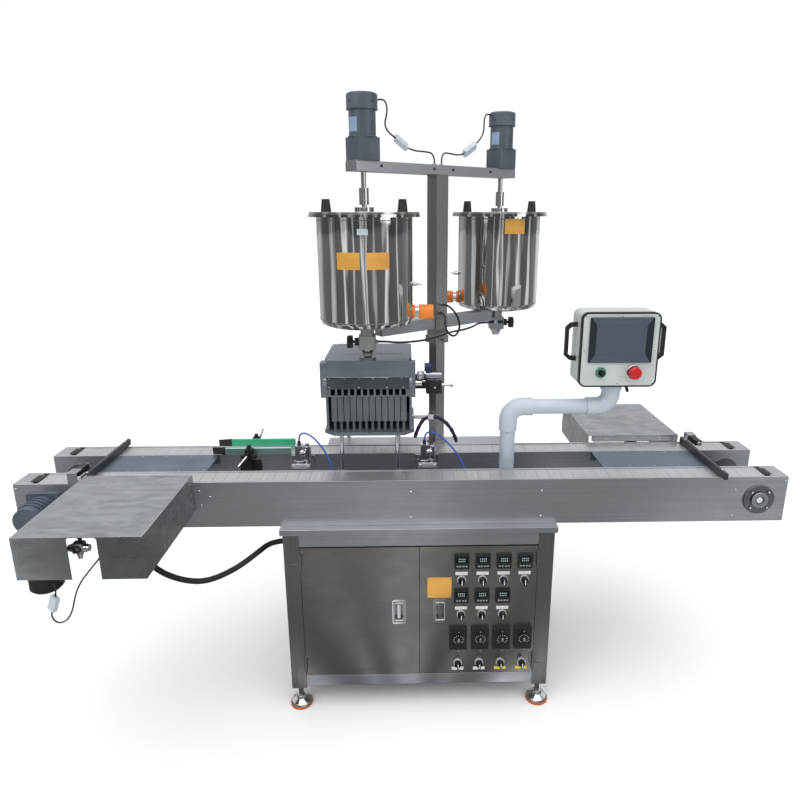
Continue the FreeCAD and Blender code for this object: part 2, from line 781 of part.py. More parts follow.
def switch_places():
    """Centres of the eleven selector switches on the right door."""
    upper = [(instrument_first_x + instrument_pitch * i, upper_switch_z) for i in range(4)]
    middle = [(instrument_first_x + instrument_pitch * i, middle_switch_z) for i in range(3)]
    lower = [(speed_first_x + speed_pitch * i, lower_switch_z) for i in range(4)]
    return upper + middle + lower


def panel_instruments():
    y = cabinet_front
    half = controller_size / 2
    solids = []
    places = [(instrument_first_x + instrument_pitch * i, upper_row_z) for i in range(4)]
    places += [(instrument_first_x + instrument_pitch * i, middle_row_z) for i in range(3)]
    for x, z in places:
        body = block(x - half, x + half, y - controller_depth, y, z - half, z + half)
        window = block(x - half + 5, x + half - 5, y - controller_depth, y - controller_depth + 1.5,
                       z - 4, z + half - 5)
        solids.append(body.cut(window))
    for i in range(4):
        x = speed_first_x + speed_pitch * i
        w = speed_unit_width / 2
        h = speed_unit_height / 2
        body = block(x - w, x + w, y - speed_unit_depth, y, speed_row_z - h, speed_row_z + h)
        knob = rod((x, y - speed_unit_depth - 14, speed_row_z - 4), Y_AXIS, 11, 14)
        solids.append(body.fuse(knob))
    collar = switch_collar_diameter / 2
    for x, z in switch_places():
        solids.append(ring((x, y - switch_collar_depth, z), Y_AXIS, collar, 4 + RUN_FIT, switch_collar_depth))
    label_gap = label_plate_height / 2
    for x, z in switch_places():
        plate_z = z - 24 if z < lower_switch_z + 1 else z + 22
        solids.append(block(x - label_plate_width / 2, x + label_plate_width / 2, y - 0.8, y,
                            plate_z - label_gap, plate_z + label_gap))
    return solids


def selector(x, z):
    """Selector knob with its raised grip; its spindle runs in the collar."""
    y = cabinet_front - switch_collar_depth - SEAT_GAP
    spindle = rod((x, y, z), Y_AXIS, 4, switch_collar_depth + SEAT_GAP - 0.5)
    disc = rod((x, y - switch_knob_depth, z), Y_AXIS, switch_knob_diameter / 2, switch_knob_depth)
    w = switch_grip_width / 2
    r = switch_knob_diameter / 2 - 1
    top = y - switch_knob_depth
    grip = block(x - w, x + w, top - switch_grip_depth, top, z - r, z + r)
    return [fused([spindle, disc, grip])]


# Rear deck, column and turret

def drive_housing():
    """Sheet housing behind the rear conveyor with the bearing tube of the column."""
    w = deck_wall
    shell = block(deck_left, deck_right, rear_face, deck_rear, table_top, conveyor_top)
    shell = shell.cut(block(deck_left + w, deck_right - w, rear_face + w, deck_rear - w,
                            table_top, conveyor_top - w))
    tube_r = bearing_tube_diameter / 2
    shell = shell.cut(rod((column_x, column_y, conveyor_top - w), Z_AXIS, tube_r, w))
    bore = column_spigot_diameter / 2 + RUN_FIT
    tube = ring((column_x, column_y, table_top), Z_AXIS, tube_r, bore, conveyor_top - table_top)
    return [shell, tube]


def turret_column():
    """Square inner column with a round spigot that turns in the bearing tube."""
    base = conveyor_top + SEAT_GAP
    flange_top = base + column_flange_thickness
    spigot = rod((column_x, column_y, table_top + 2), Z_AXIS, column_spigot_diameter / 2,
                 base - table_top - 2)
    flange = rod((column_x, column_y, base), Z_AXIS, column_flange_diameter / 2, column_flange_thickness)
    h = column_size / 2
    top = beam_bottom - 20
    square = box_tube(column_x - h, column_x + h, column_y - h, column_y + h, flange_top, top,
                      column_wall, "z")
    return [fused([spigot, flange] + yawed([square]))]


def turret_frame():
    """Outer sleeve, lower tank arms with seat plates, and the upper motor beam."""
    bore = column_size / 2 + SLIDE_FIT
    o = sleeve_size / 2
    cx = column_x
    cy = column_y
    outer = block(cx - o, cx + o, cy - o, cy + o, sleeve_bottom, beam_bottom)
    sleeve = outer.cut(block(cx - bore, cx + bore, cy - bore, cy + bore, sleeve_bottom, beam_bottom - 5))
    collar = block(cx - o - 4, cx + o + 4, cy - o - 4, cy + o + 4, sleeve_bottom, sleeve_bottom + 26)
    collar = collar.cut(block(cx - o, cx + o, cy - o, cy + o, sleeve_bottom, sleeve_bottom + 26))
    clamp = rod((cx, cy - o - 22, sleeve_bottom + 13), Y_AXIS, 6, 20)
    b = beam_half_length
    hw = beam_width / 2
    beam = block(cx - b, cx + b, cy - hw, cy + hw, beam_bottom, motor_base)
    beam = beam.cut(block(cx - b + 3, cx + b - 3, cy - hw + beam_wall, cy + hw - beam_wall,
                          beam_bottom + beam_wall, motor_base - beam_wall))
    arm_top = tank_bottom - seat_plate_thickness
    entry = rod((cx, cy - o + 2, gland_high_z), V(0, -1, 0), 7, 10)
    exit_gland = rod((cx - 12, cy - o + 2, gland_low_z), V(0, -1, 0), 7, 10)
    pieces = [fused([sleeve, entry, exit_gland]), collar, clamp]
    lead_glands = [rod((cx + x, cy, motor_base - 1), Z_AXIS, 6, 7) for x in lead_gland_offsets]
    for side in (-1, 1):
        tank_x = cx + side * tank_reach
        beam = beam.cut(rod((tank_x, cy, beam_bottom - 1), Z_AXIS, 14, beam_height + 2))
        x_near = cx + side * o
        x_far = tank_x - side * 44
        arm = block(min(x_near, x_far), max(x_near, x_far), cy - arm_size / 2, cy + arm_size / 2,
                    arm_top - arm_size, arm_top)
        seat = block(tank_x - 66, tank_x + 66, cy - 60, cy + 60, arm_top, tank_bottom)
        bore_hole = rod((tank_x, cy, arm_top - 1), Z_AXIS, 24, seat_plate_thickness + 2)
        pieces += [arm, seat.cut(bore_hole)]
    pieces.append(fused([beam] + lead_glands))
    return yawed(pieces)


def tank(centre):
    """Jacketed round tank with a rolled lower edge and a bolted rim."""
    r = tank_radius
    e = tank_edge_round
    c = e * (1 - math.cos(math.radians(45)))
    inner = r - tank_jacket
    floor = tank_bottom + tank_floor
    profile = [(outlet_bore / 2, tank_bottom), (r - e, tank_bottom), (r - c, tank_bottom + c),
               (r, tank_bottom + e), (r, tank_rim_top - rim_thickness),
               (rim_radius, tank_rim_top - rim_thickness), (rim_radius, tank_rim_top),
               (inner, tank_rim_top), (inner, floor + 8), (inner - 8, floor), (outlet_bore / 2, floor)]
    return [turned(profile, *centre)]


def lid(centre):
    """Lift-off lid with a raised boss round the mixer shaft and two tapered knobs."""
    profile = [(lid_bore_radius, lid_bottom), (rim_radius - 2, lid_bottom), (rim_radius - 2, lid_top),
               (lid_boss_radius, lid_top), (lid_boss_radius, lid_top + lid_boss_height),
               (lid_bore_radius, lid_top + lid_boss_height)]
    solids = [turned(profile, *centre)]
    for sx in (-1, 1):
        knob = Part.makeCone(16, 12, lid_knob_height, V(centre[0] + sx * lid_knob_offset, centre[1], lid_top))
        solids.append(knob)
    return solids


def mixer(centre):
    """Shaft, coupling and anchor stirrer; it hangs from the gearbox above."""
    x, y = centre
    r = mixer_shaft_diameter / 2
    low = tank_bottom + tank_floor + 12
    shaft = rod((x, y, low), Z_AXIS, r, motor_base - SEAT_GAP - low)
    coupling = rod((x, y, mixer_coupling_bottom), Z_AXIS, mixer_coupling_diameter / 2,
                   mixer_coupling_top - mixer_coupling_bottom)
    span = tank_radius - tank_jacket - 14
    bottom = block(x - span, x + span, y - 5, y + 5, low, low + 14)
    middle = block(x - span, x + span, y - 4, y + 4, low + 120, low + 132)
    sides = [block(x + s * span - 5, x + s * span + 5, y - 7, y + 7, low, low + 200) for s in (-1, 1)]
    return [fused([shaft, coupling, bottom, middle] + sides)]


def mixer_motor(centre):
    """Square gearbox, round motor and wider end cap, in line with the beam."""
    x, y = centre
    h = gearbox_size / 2
    box = rounded_post(x - h, x + h, y - h, y + h, motor_base, motor_base + gearbox_height, 5)
    motor_z = motor_base + gearbox_height
    body = rod((x, y, motor_z), Z_AXIS, motor_diameter / 2, motor_height)
    cap_z = motor_z + motor_height
    r = motor_cap_diameter / 2
    cap = turned([(0, cap_z), (r, cap_z), (r, cap_z + motor_cap_height - 7),
                  (r - 5, cap_z + motor_cap_height - 3), (0, cap_z + motor_cap_height)], x, y)
    inward = 1 if x < column_x else -1
    gland = rod((x + inward * 40, y, lead_gland_z), V(inward, 0, 0), 5, 14)
    whole = fused([box, body, cap, gland])
    return [whole.rotated(V(x, y, 0), Z_AXIS, column_yaw)]


def tank_outlet(centre):
    """Bottom outlet: neck, valve block, tapered throat and round spout."""
    x, y = centre
    h = valve_block_size / 2
    top = tank_bottom - seat_plate_thickness - 31
    neck = rod((x, y, top), Z_AXIS, 22, tank_bottom - top)
    block_low = top - valve_block_height
    body = rounded_post(x - h, x + h, y - h, y + h, block_low, top, 4)
    inward = 1 if x < column_x else -1
    gland_y = y if inward > 0 else valve_cable_end_y
    gland = rod((x + inward * (h - 2), gland_y, (block_low + top) / 2), V(inward, 0, 0), 6, 10)
    throat = Part.makeCone(outlet_diameter / 2 + 1, h - 2, 14, V(x, y, block_low - 14))
    spout = rod((x, y, outlet_end), Z_AXIS, outlet_diameter / 2, block_low - 14 - outlet_end)
    bore = rod((x, y, outlet_end), Z_AXIS, outlet_bore / 2, tank_bottom - outlet_end)
    return [fused([neck, body, throat, spout, gland]).cut(bore)]


def valve_axis_z():
    return tank_bottom - seat_plate_thickness - 31 - valve_block_height / 2


def valve_boss(centre, side):
    """Gland on the valve block in which the knob's spindle turns."""
    x = centre[0] + side * valve_block_size / 2
    return ring((x, centre[1], valve_axis_z()), V(side, 0, 0), 13, 5 + RUN_FIT, 14)


def valve_knob(centre, side):
    """Six lobed hand knob on its spindle."""
    x = centre[0] + side * (valve_block_size / 2 + 14 + SEAT_GAP)
    z = valve_axis_z()
    y = centre[1]
    spindle = rod((x - side * 13, y, z), V(side, 0, 0), 5, 13 + 8)
    r = valve_knob_diameter / 2
    points = []
    for i in range(12):
        a = math.radians(30 * i)
        reach = r if i % 2 == 0 else r * 0.78
        points.append((x + side * 6, y + reach * math.cos(a), z + reach * math.sin(a)))
    grip = outline_prism(points, V(side * 18, 0, 0))
    return [fused([spindle, grip])]


def heater(centre, side):
    """Cartridge heater on the tank's side: base, coupling, ring and cap."""
    x, y = centre
    base_x = x + side * (tank_radius - 4)
    axis = V(side, 0, 0)
    r = heater_diameter / 2
    wall = rod((x, y, heater_z - 40), Z_AXIS, tank_radius, 160)
    base = rod((base_x, y, heater_z), axis, r - 1, 11).cut(wall)
    coupling = rod((base_x + side * 11, y, heater_z), axis, r - 5, 12)
    collar = rod((base_x + side * 23, y, heater_z), axis, r, 5)
    cap = rod((base_x + side * 28, y, heater_z), axis, r, heater_length - 25)
    probe = rod((base_x, y, probe_z), axis, 7, 19).cut(wall)
    stem = rod((base_x + side * 19, y, probe_z), axis, 4, 12)
    return [fused([base, coupling, collar, cap]), fused([probe, stem])]


# Filling head

def head_stand():
    """Bottom plate with clipped corners on four round posts."""
    w = base_plate_width / 2
    c = base_plate_chamfer
    low = base_plate_top - base_plate_thickness
    y0 = head_front - 3
    y1 = head_rear
    points = [(head_x - w + c, y0, low), (head_x + w - c, y0, low), (head_x + w, y0 + c, low),
              (head_x + w, y1, low), (head_x - w, y1, low), (head_x - w, y0 + c, low)]
    plate = outline_prism(points, V(0, 0, base_plate_thickness))
    for i in range(pump_count):
        x = pump_x(i)
        plate = plate.cut(rod((x, rear_y, low), Z_AXIS, nozzle_diameter / 2 + 1, base_plate_thickness))
    solids = [plate]
    for x in (head_x - post_spacing / 2, head_x + post_spacing / 2):
        for y in (post_front_y, post_rear_y):
            solids.append(rod((x, y, table_top), Z_AXIS, post_diameter / 2, low - table_top))
    return solids


def pump_x(i):
    return head_x + (i - (pump_count - 1) / 2) * pump_pitch


def head_casing():
    """Side cheeks with ears, top plate, front panel, screw band and slotted strip."""
    w = head_inner_width / 2
    o = head_width / 2
    y0 = head_front
    y1 = head_rear
    top_low = head_top - head_top_plate
    top = block(head_x - w, head_x + w, y0, y1, top_low, head_top)
    inlet_hole = rod((left_tank[0], left_tank[1], top_low - 1), Z_AXIS, outlet_bore / 2, head_top_plate + 2)
    top = top.cut(inlet_hole)
    front = block(head_x - w, head_x + w, y0 + 2, y0 + 8, head_band_top, top_low)
    band = block(head_x - w, head_x + w, y0 - 2, y0 + 8, head_band_bottom, head_band_top)
    rear = block(head_x - w, head_x + w, y1 - 6, y1, base_plate_top, top_low)
    strip = block(head_x - w, head_x + w, y0 + 4, y0 + 20, head_slot_bottom, head_band_bottom)
    for i in range(pump_count):
        x = pump_x(i)
        strip = strip.cut(block(x - 7, x + 7, y0 + 3, y0 + 21, head_slot_bottom + 4, head_band_bottom - 2))
    cheeks = []
    for side in (-1, 1):
        x0 = head_x + side * w
        x1 = head_x + side * o
        ear = block(min(x0, x1), max(x0, x1), y0, y0 + 44, head_ear_bottom, top_low - 2)
        x2 = head_x + side * (w + 8)
        cheek = block(min(x0, x2), max(x0, x2), y0 + 44, y1, base_plate_top, head_top - 2)
        lower = block(min(x0, x2), max(x0, x2), y0 + 26, y0 + 44, base_plate_top, head_ear_bottom)
        cheeks += [fused([ear, cheek, lower])]
    inlet = ring((left_tank[0], left_tank[1], head_top), Z_AXIS, inlet_flange_radius, outlet_bore / 2, 7)
    return [fused([top, front, band, strip, rear]), inlet] + cheeks


def pump_blocks():
    """Twelve pump bars with their piston rods, feed tubes and filling nozzles."""
    solids = []
    y0 = head_front + pump_recess
    half = (pump_pitch - 2.4) / 2
    rail = block(head_x - head_inner_width / 2 + 1, head_x + head_inner_width / 2 - 1, y0 + 12, y0 + 12 + pump_depth,
                 head_slot_bottom - 6, head_slot_bottom)
    solids.append(rail)
    for i in range(pump_count):
        x = pump_x(i)
        bar = block(x - half, x + half, y0, y0 + 12, pump_bottom, head_slot_bottom)
        body = block(x - half, x + half, y0 + 12, y0 + 12 + pump_depth, pump_bottom, head_slot_bottom - 6)
        tube = rod((x, y0 + 10, base_plate_top), Z_AXIS, 5.5, pump_bottom - base_plate_top)
        solids.append(fused([bar, body, tube]))
        solids.append(rod((x, rear_y, base_plate_top - base_plate_thickness - nozzle_length), Z_AXIS,
                          nozzle_diameter / 2, base_plate_thickness + nozzle_length))
    holder = block(head_x - head_inner_width / 2 + 1, head_x + head_inner_width / 2 - 1,
                   rear_y - 10, rear_y + 14, base_plate_top, pump_bottom)
    solids.append(holder)
    return solids


def head_air_unit():
    """Turning valve drive on the head's right cheek and the two jointed air nozzles."""
    x0 = head_x + head_width / 2
    y = head_front + 22
    z = air_body_bottom
    body_x = x0 + air_arm_length
    arm = block(x0, body_x + 2, y - 10, y + 10, z + 14, z + 34)
    boss = rod((x0, y, z + 50), X_AXIS, 11, air_arm_length)
    body = rounded_block(body_x, body_x + air_body_length, y - 24, y + 24, z, z + air_body_height, 5)
    drum = rod((body_x, y, z + 57), X_AXIS, 12, air_body_length)
    cap = rod((body_x - 4, y, z + 84), X_AXIS, 14, 22)
    cap_leg = block(body_x + 2, body_x + 12, y - 8, y + 8, z + 66, z + 76)
    stub = rod((body_x + air_body_length, y, z + 24), X_AXIS, 5, 30)
    tip = rod((body_x + air_body_length + 30, y, z + 24), X_AXIS, 9, 8)
    unit = fused([arm, boss, body, drum, cap, cap_leg, stub, tip])
    hx, hy, hz = air_hub
    hub = block(hx - 10, hx + 10, hy - 12, hy + 12, hz - 12, hz + 12)
    bracket = block(head_x + head_inner_width / 2 + 8, hx - 10, hy - 6, hy + 6, hz - 6, hz + 6)
    lines = [[(hx + x, hy + y, hz + z) for x, y, z in path] for path in (left_nozzle_path, right_nozzle_path)]
    return [unit, bracket, hub] + air_nozzle(lines[0]) + air_nozzle(lines[1])


def air_nozzle(points):
    """Ball jointed nozzle line: a cone per joint, small end first."""
    solids = []
    for a, b in zip(points[:-1], points[1:]):
        start = V(*a)
        step = V(*b) - start
        solids.append(Part.makeCone(7.5, 5.5, step.Length, start, step))
    return solids


# Operator panel

def elbow(x, z, centre_x, radius):
    """Quarter bend whose upright end is at x and z, turned about a Y axis at centre_x."""
    disc = Part.Face(Part.Wire(Part.makeCircle(radius, V(x, 0, z), Z_AXIS)))
    return disc.revolve(V(centre_x, 0, z), Y_AXIS, 90)


def panel_post():
    """Post, two elbows, arm and neck of the operator panel."""
    r = panel_tube_diameter / 2
    e = panel_elbow_diameter / 2
    z = panel_arm_z
    x0 = panel_post_x
    x1 = panel_x
    bend = 46
    foot = rod((x0, 0, table_top), Z_AXIS, r + 20, 8)
    post = rod((x0, 0, table_top + 8), Z_AXIS, r, z - bend - table_top - 8)
    low_socket = rod((x0, 0, z - bend - 34), Z_AXIS, e, 34)
    lower = elbow(x0, z - bend, x0 + bend, e)
    side_socket = rod((x0 + bend, 0, z), X_AXIS, e, 34)
    arm = rod((x0 + bend, 0, z), X_AXIS, r, x1 - x0 - 2 * bend)
    far_socket = rod((x1 - bend - 34, 0, z), X_AXIS, e, 34)
    upper = elbow(x1, z + bend, x1 - bend, e)
    neck_top = panel_bottom - SEAT_GAP
    neck = rod((x1, 0, z + bend), Z_AXIS, e, 12)
    head = rod((x1, 0, z + bend + 12), Z_AXIS, panel_neck_diameter / 2, neck_top - z - bend - 12)
    pin = rod((x1, 0, neck_top), Z_AXIS, 12, 14)
    clamp = rod((x1 + panel_neck_diameter / 2 - 2, 0, 1094), X_AXIS, 5, 16)
    lever = rod((x1 + panel_neck_diameter / 2 + 14, 0, 1096), V(0.35, 0, -0.94), 5, 24)
    return [foot, fused([post, low_socket]), lower, fused([side_socket, arm, far_socket]), upper,
            fused([neck, head, pin]), fused([clamp, lever])]


def operator_panel():
    """Die cast box with front frame, screen bezel, switch collars and two handles."""
    hw = panel_width / 2
    hd = panel_depth / 2
    z0 = panel_bottom
    z1 = z0 + panel_height
    box = rounded_block(panel_x - hw, panel_x + hw, -hd + 12, hd, z0, z1, panel_corner)
    frame = rounded_block(panel_x - hw, panel_x + hw, -hd, -hd + 8, z0, z1, panel_corner)
    gasket = rounded_block(panel_x - hw + 2, panel_x + hw - 2, -hd + 8, -hd + 12, z0 + 2, z1 - 2,
                           panel_corner - 2)
    bore = rod((panel_x, 0, z0), Z_AXIS, 12 + RUN_FIT, 18)
    box = box.cut(bore)
    screen_x = panel_x + 1
    screen_z = z1 - 15 - bezel_height / 2
    bezel = rounded_block(screen_x - bezel_width / 2, screen_x + bezel_width / 2, -hd - bezel_proud, -hd,
                          screen_z - bezel_height / 2, screen_z + bezel_height / 2, 3)
    glass = block(screen_x - 80, screen_x + 80, -hd - bezel_proud, -hd - bezel_proud + 1, screen_z - 45,
                  screen_z + 48)
    bezel = bezel.cut(glass)
    switch_ring = ring((panel_switch_x, -hd - 5, panel_switch_z), Y_AXIS, 15, 4 + RUN_FIT, 5)
    stop_ring = ring((stop_button_x, -hd - 6, stop_button_z), Y_AXIS, 15, 8 + RUN_FIT, 6)
    frame = frame.cut(rod((panel_switch_x, -hd, panel_switch_z), Y_AXIS, 4 + RUN_FIT, 8))
    frame = frame.cut(rod((stop_button_x, -hd, stop_button_z), Y_AXIS, 8 + RUN_FIT, 8))
    gasket = gasket.cut(rod((stop_button_x, -hd + 8, stop_button_z), Y_AXIS, 8 + RUN_FIT, 4))
    box = box.cut(rod((stop_button_x, -hd + 12, stop_button_z), Y_AXIS, 8 + RUN_FIT, 12))
    solids = [box, gasket, frame, bezel, switch_ring, stop_ring]
    for side in (-1, 1):
        x = panel_x + side * hw
        t = 7
        points = [(x, -t, z0 + 76), (x + side * 22, -t, z0 + 78), (x + side * 38, -t, z0 + 92),
                  (x + side * 38, -t, z0 + 186), (x + side * 22, -t, z0 + 200), (x, -t, z0 + 202),
                  (x, -t, z0 + 188), (x + side * 17, -t, z0 + 187), (x + side * 27, -t, z0 + 179),
                  (x + side * 27, -t, z0 + 99), (x + side * 17, -t, z0 + 91), (x, -t, z0 + 90)]
        solids.append(outline_prism(points, V(0, 2 * t, 0)))
    return solids


def emergency_stop():
    """Mushroom head on its stem; it is pushed in along Y."""
    y = -panel_depth / 2
    r = stop_button_diameter / 2
    rim = y - 6 - stop_travel - 1
    stem = rod((stop_button_x, rim, stop_button_z), Y_AXIS, 8, -rim + y + 14)
    disc = rod((stop_button_x, rim - 10, stop_button_z), Y_AXIS, r, 10)
    crown = Part.makeCone(r - 4, r, 4, V(stop_button_x, rim - 14, stop_button_z), Y_AXIS)
    return [fused([stem, disc, crown])]


def panel_selector():
    y = -panel_depth / 2 - 5 - SEAT_GAP
    spindle = rod((panel_switch_x, y, panel_switch_z), Y_AXIS, 4, 5 + SEAT_GAP + 6)
    disc = rod((panel_switch_x, y - 8, panel_switch_z), Y_AXIS, 11, 8)
    grip = block(panel_switch_x - 3.5, panel_switch_x + 3.5, y - 18, y - 8, panel_switch_z - 10,
                 panel_switch_z + 10)
    return [fused([spindle, disc, grip])]


# Cords: each route is a list of chosen points between two glands

loom_gland_y = front_face - bracket_thickness - 10
lead_gland_top = motor_base + 6
block_gland_x = valve_block_size / 2 + 8
loom_route = [(-830, loom_gland_y, 790), (-830, -218, 782), (-826, -256, 745), (-816, -272, 690),
              (-795, -270, 632), (-757, -258, 578), (-700, -243, 540), (-632, -225, 522),
              (-552, -182, 540), (-496, -135, 566), (-450, loom_entry_y, loom_entry_z),
              (cabinet_left + panel_inset - loom_gland_length, loom_entry_y, loom_entry_z)]
drive_lead_route = [(-1090.7, -260.8, 548), (-1078, -273.5, 550), (-1068, -284, 540), (-1071, -288, 518),
                    (-1091, -283, 470), (-1098, -281, 441), (-1082, -281, 419), (-1052, -281, 428),
                    (-1031, -279, 464), (-1021, -275, 507), (-1005, -264, 549), (-975, -247, 587),
                    (-938, -228, 630), (-912, -210, 672), (-903, -196, 703), (-903, front_face - 8, 708)]
left_lead_route = [(-80.7, 48.5, 1968), (-62, 63, 1976), (-50, 72.5, 1956), (-53, 70, 1928), (-60, 66, 1902),
                   (-47, 75, 1880), (-27, 90, 1868), (8, 118, 1842), (31, 136, 1834), (62, 160, 1834),
                   (98, 188.1, 1831), (98, 188.1, lead_gland_top)]
right_lead_route = [(300.7, 346.5, 1968), (287, 336, 1972), (276, 327.5, 1963), (273, 325, 1943),
                    (274, 326, 1918), (266, 319, 1895), (241, 299.5, 1866), (202, 269.5, 1837), (180, 252, 1830),
                    (152, 230, 1834), (122, 206.9, 1835), (122, 206.9, lead_gland_top)]
gland_loop_route = [(130.3, 171.5, 1340), (144, 154, 1340), (166, 147, 1322), (184, 160, 1290), (188, 166, 1255),
                    (171, 153, 1231), (147, 133, 1243), (133, 121, 1276), (138, 142, 1308),
                    (120.9, 164.1, 1313)]
valve_cable_route = [(left_tank[0] + block_gland_x, left_tank[1], 1243), (-60, 20, 1242), (-26, 35, 1235),
                     (22, 73, 1230), (68, 108, 1229), (112, 143, 1233), (156, 178, 1243), (205, 219, 1243),
                     (244, 262, 1247), (264, 312, 1248), (280, 352, 1245),
                     (right_tank[0] - block_gland_x, 372, 1243)]
left_hose_route = [(-369, 53.5, 888), (-368, 53, 908), (-354, 48, 921), (-332, 40, 918), (-303, 28, 898),
                   (-272, 10, 861), (-250, -8, 815), (-240, -20, 768), (-237, -26, 726),
                   (-237, -26, table_top + 8)]
right_hose_route = [(62, 53.5, 888), (63, 53, 908), (78, 50, 921), (100, 44, 918), (131, 34, 898),
                    (167, 20, 861), (195, 2, 816), (209, -12, 768), (214, -20, 726), (214, -20, table_top + 8)]


def cord(route, diameter, connector_run=None):
    """Tubes along a route; the run of a connector is left to the connector's body."""
    if connector_run is None:
        return [cord_tube(route, diameter / 2)]
    first = route[:connector_run + 1]
    second = route[connector_run + 1:]
    return [cord_tube(first, diameter / 2), cord_tube(second, diameter / 2)]


def connector(route, run, width, depth):
    """Nylon plug and socket body lying between two points of a lead."""
    start = V(*route[run])
    along = V(*route[run + 1]) - start
    body = Part.makeBox(width, depth, along.Length, V(-width / 2, -depth / 2, 0))
    body.Placement = FreeCAD.Placement(start, FreeCAD.Rotation(Z_AXIS, along))
    return body


lead_diameter = 5.0
lead_connectors = [connector(left_lead_route, 6, 26, 15), connector(right_lead_route, 6, 26, 15)]
drive_connector = connector(drive_lead_route, 3, 28, 15)

parts = {
    "cabinet_frame": cabinet_frame() + hinge_pins(door_left_edge, -1) + hinge_pins(door_right_edge, 1),
    "cabinet_panels": cabinet_panels(),
    "levelling_feet": levelling_feet(),
    "conveyor_channels": channel(front_y) + channel(rear_y)
    + [rod((drive_gland_x, front_face, drive_gland_z), V(0, -1, 0), 6, 8)],
    "slat_chains": slat_chain(front_y) + slat_chain(rear_y),
    "bearing_covers": bearing_covers(),
    "drive_gearmotors": drive_gearmotor() + half_turn(drive_gearmotor()) + [drive_connector],
    "transfer_plates": transfer_plate() + half_turn(transfer_plate()) + stop_bar() + half_turn(stop_bar())
    + end_sensor() + half_turn(end_sensor()),
    "pusher_covers": pusher_cover() + half_turn(pusher_cover()),
    "air_cylinders": pusher_cylinder() + half_turn(pusher_cylinder()) + stopper(left_stopper_x) + stopper(right_stopper_x)
    + [rod((-cover_middle_x, front_face - bracket_thickness, loom_gland_z), V(0, -1, 0), 12, 10)],
    "guide_rails": guide_rails(),
    "drive_housing": drive_housing(),
    "head_stand": head_stand(),
    "head_casing": head_casing(),
    "pump_blocks": pump_blocks(),
    "head_air_unit": head_air_unit(),
    "panel_post": panel_post(),
    "front_pusher": pusher(),
    "rear_pusher": half_turn(pusher()),
    "left_door": door(door_left_edge, cabinet_centre_x - 0.8, door_left_edge, cabinet_centre_x - 68),
    "right_door": door(cabinet_centre_x + 0.8, door_right_edge, door_right_edge, cabinet_centre_x + 68),
    "panel_instruments": panel_instruments(),
    "turret_column": turret_column(),
    "turret_frame": turret_frame(),
    "left_tank": tank(left_tank),
    "right_tank": tank(right_tank),
    "tank_fittings": tank_outlet(left_tank) + tank_outlet(right_tank)
    + heater(left_tank, 1) + heater(right_tank, -1)
    + [valve_boss(left_tank, -1), valve_boss(right_tank, 1)],
    "mixer_motors": mixer_motor(left_tank) + mixer_motor(right_tank) + lead_connectors,
    "left_lid": lid(left_tank),
    "right_lid": lid(right_tank),
    "left_mixer": mixer(left_tank),
    "right_mixer": mixer(right_tank),
    "left_valve_knob": valve_knob(left_tank, -1),
    "right_valve_knob": valve_knob(right_tank, 1),
    "operator_panel": operator_panel(),
    "emergency_stop": emergency_stop(),
    "panel_selector": panel_selector(),
    "front_drive_shaft": conveyor_shaft(front_y, -shaft_x, True, False),
    "front_idler_shaft": conveyor_shaft(front_y, shaft_x, False, False),
    "rear_drive_shaft": conveyor_shaft(rear_y, shaft_x, False, True),
    "rear_idler_shaft": conveyor_shaft(rear_y, -shaft_x, False, False),
    "main_loom": cord(loom_route, 18.0),
    "drive_lead": cord(drive_lead_route, lead_diameter, 3),
    "left_motor_lead": cord(left_lead_route, lead_diameter, 6),
    "right_motor_lead": cord(right_lead_route, lead_diameter, 6),
    "gland_loop": cord(gland_loop_route, 7.0),
    "valve_cable": cord(valve_cable_route, 7.0),
    "left_air_hose": cord(left_hose_route, 6.0),
    "right_air_hose": cord(right_hose_route, 6.0),
}
for number, place in enumerate(switch_places()):
    parts["selector_%02d" % (number + 1)] = selector(*place)

os.makedirs("parts", exist_ok=True)
for name, solids in parts.items():
    shape = Part.makeCompound(solids)
    if not shape.isValid():
        print("not valid", name)
    shape.exportStep("parts/%s.step" % name)
print(len(parts), "nodes")
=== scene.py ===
# %% [markdown]
# # A lip balm filling machine, dressed for its portrait
# The engineering model already holds every load-bearing shape. This notebook loads that model,
# gives each surface the finish it has in the workshop, and adds the small things that an
# engineer's model leaves out: screw heads, display windows, dial scales and bare plates.
# Everything is in metres, X to the right, Y away from the operator and Z up.

# %% Load the machine and keep its measured box
import json
import math

import bmesh
import bpy
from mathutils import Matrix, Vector


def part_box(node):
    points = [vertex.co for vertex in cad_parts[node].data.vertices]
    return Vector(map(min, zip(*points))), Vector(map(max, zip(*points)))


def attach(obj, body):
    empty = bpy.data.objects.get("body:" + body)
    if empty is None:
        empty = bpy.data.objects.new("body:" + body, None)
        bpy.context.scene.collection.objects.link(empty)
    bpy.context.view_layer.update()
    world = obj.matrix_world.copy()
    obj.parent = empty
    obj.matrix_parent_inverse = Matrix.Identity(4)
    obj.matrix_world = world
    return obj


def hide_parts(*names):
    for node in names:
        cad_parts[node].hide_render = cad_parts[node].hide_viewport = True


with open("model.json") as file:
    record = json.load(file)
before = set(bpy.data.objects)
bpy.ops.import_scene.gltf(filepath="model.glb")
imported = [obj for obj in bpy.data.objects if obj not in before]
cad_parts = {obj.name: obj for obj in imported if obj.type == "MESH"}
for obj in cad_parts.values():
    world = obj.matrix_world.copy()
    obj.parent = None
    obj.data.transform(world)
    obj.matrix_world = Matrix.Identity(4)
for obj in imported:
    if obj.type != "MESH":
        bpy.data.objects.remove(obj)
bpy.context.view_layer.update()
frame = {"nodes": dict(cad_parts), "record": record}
nodes = frame["nodes"]
bodies = frame["record"]["behaviour"]["bodies"]
body_of_node = {node: body for body, names in bodies.items() for node in names}
slot_of_node = {part["node"]: part["material_slot"] for part in frame["record"]["subparts"]}

MM = 0.001


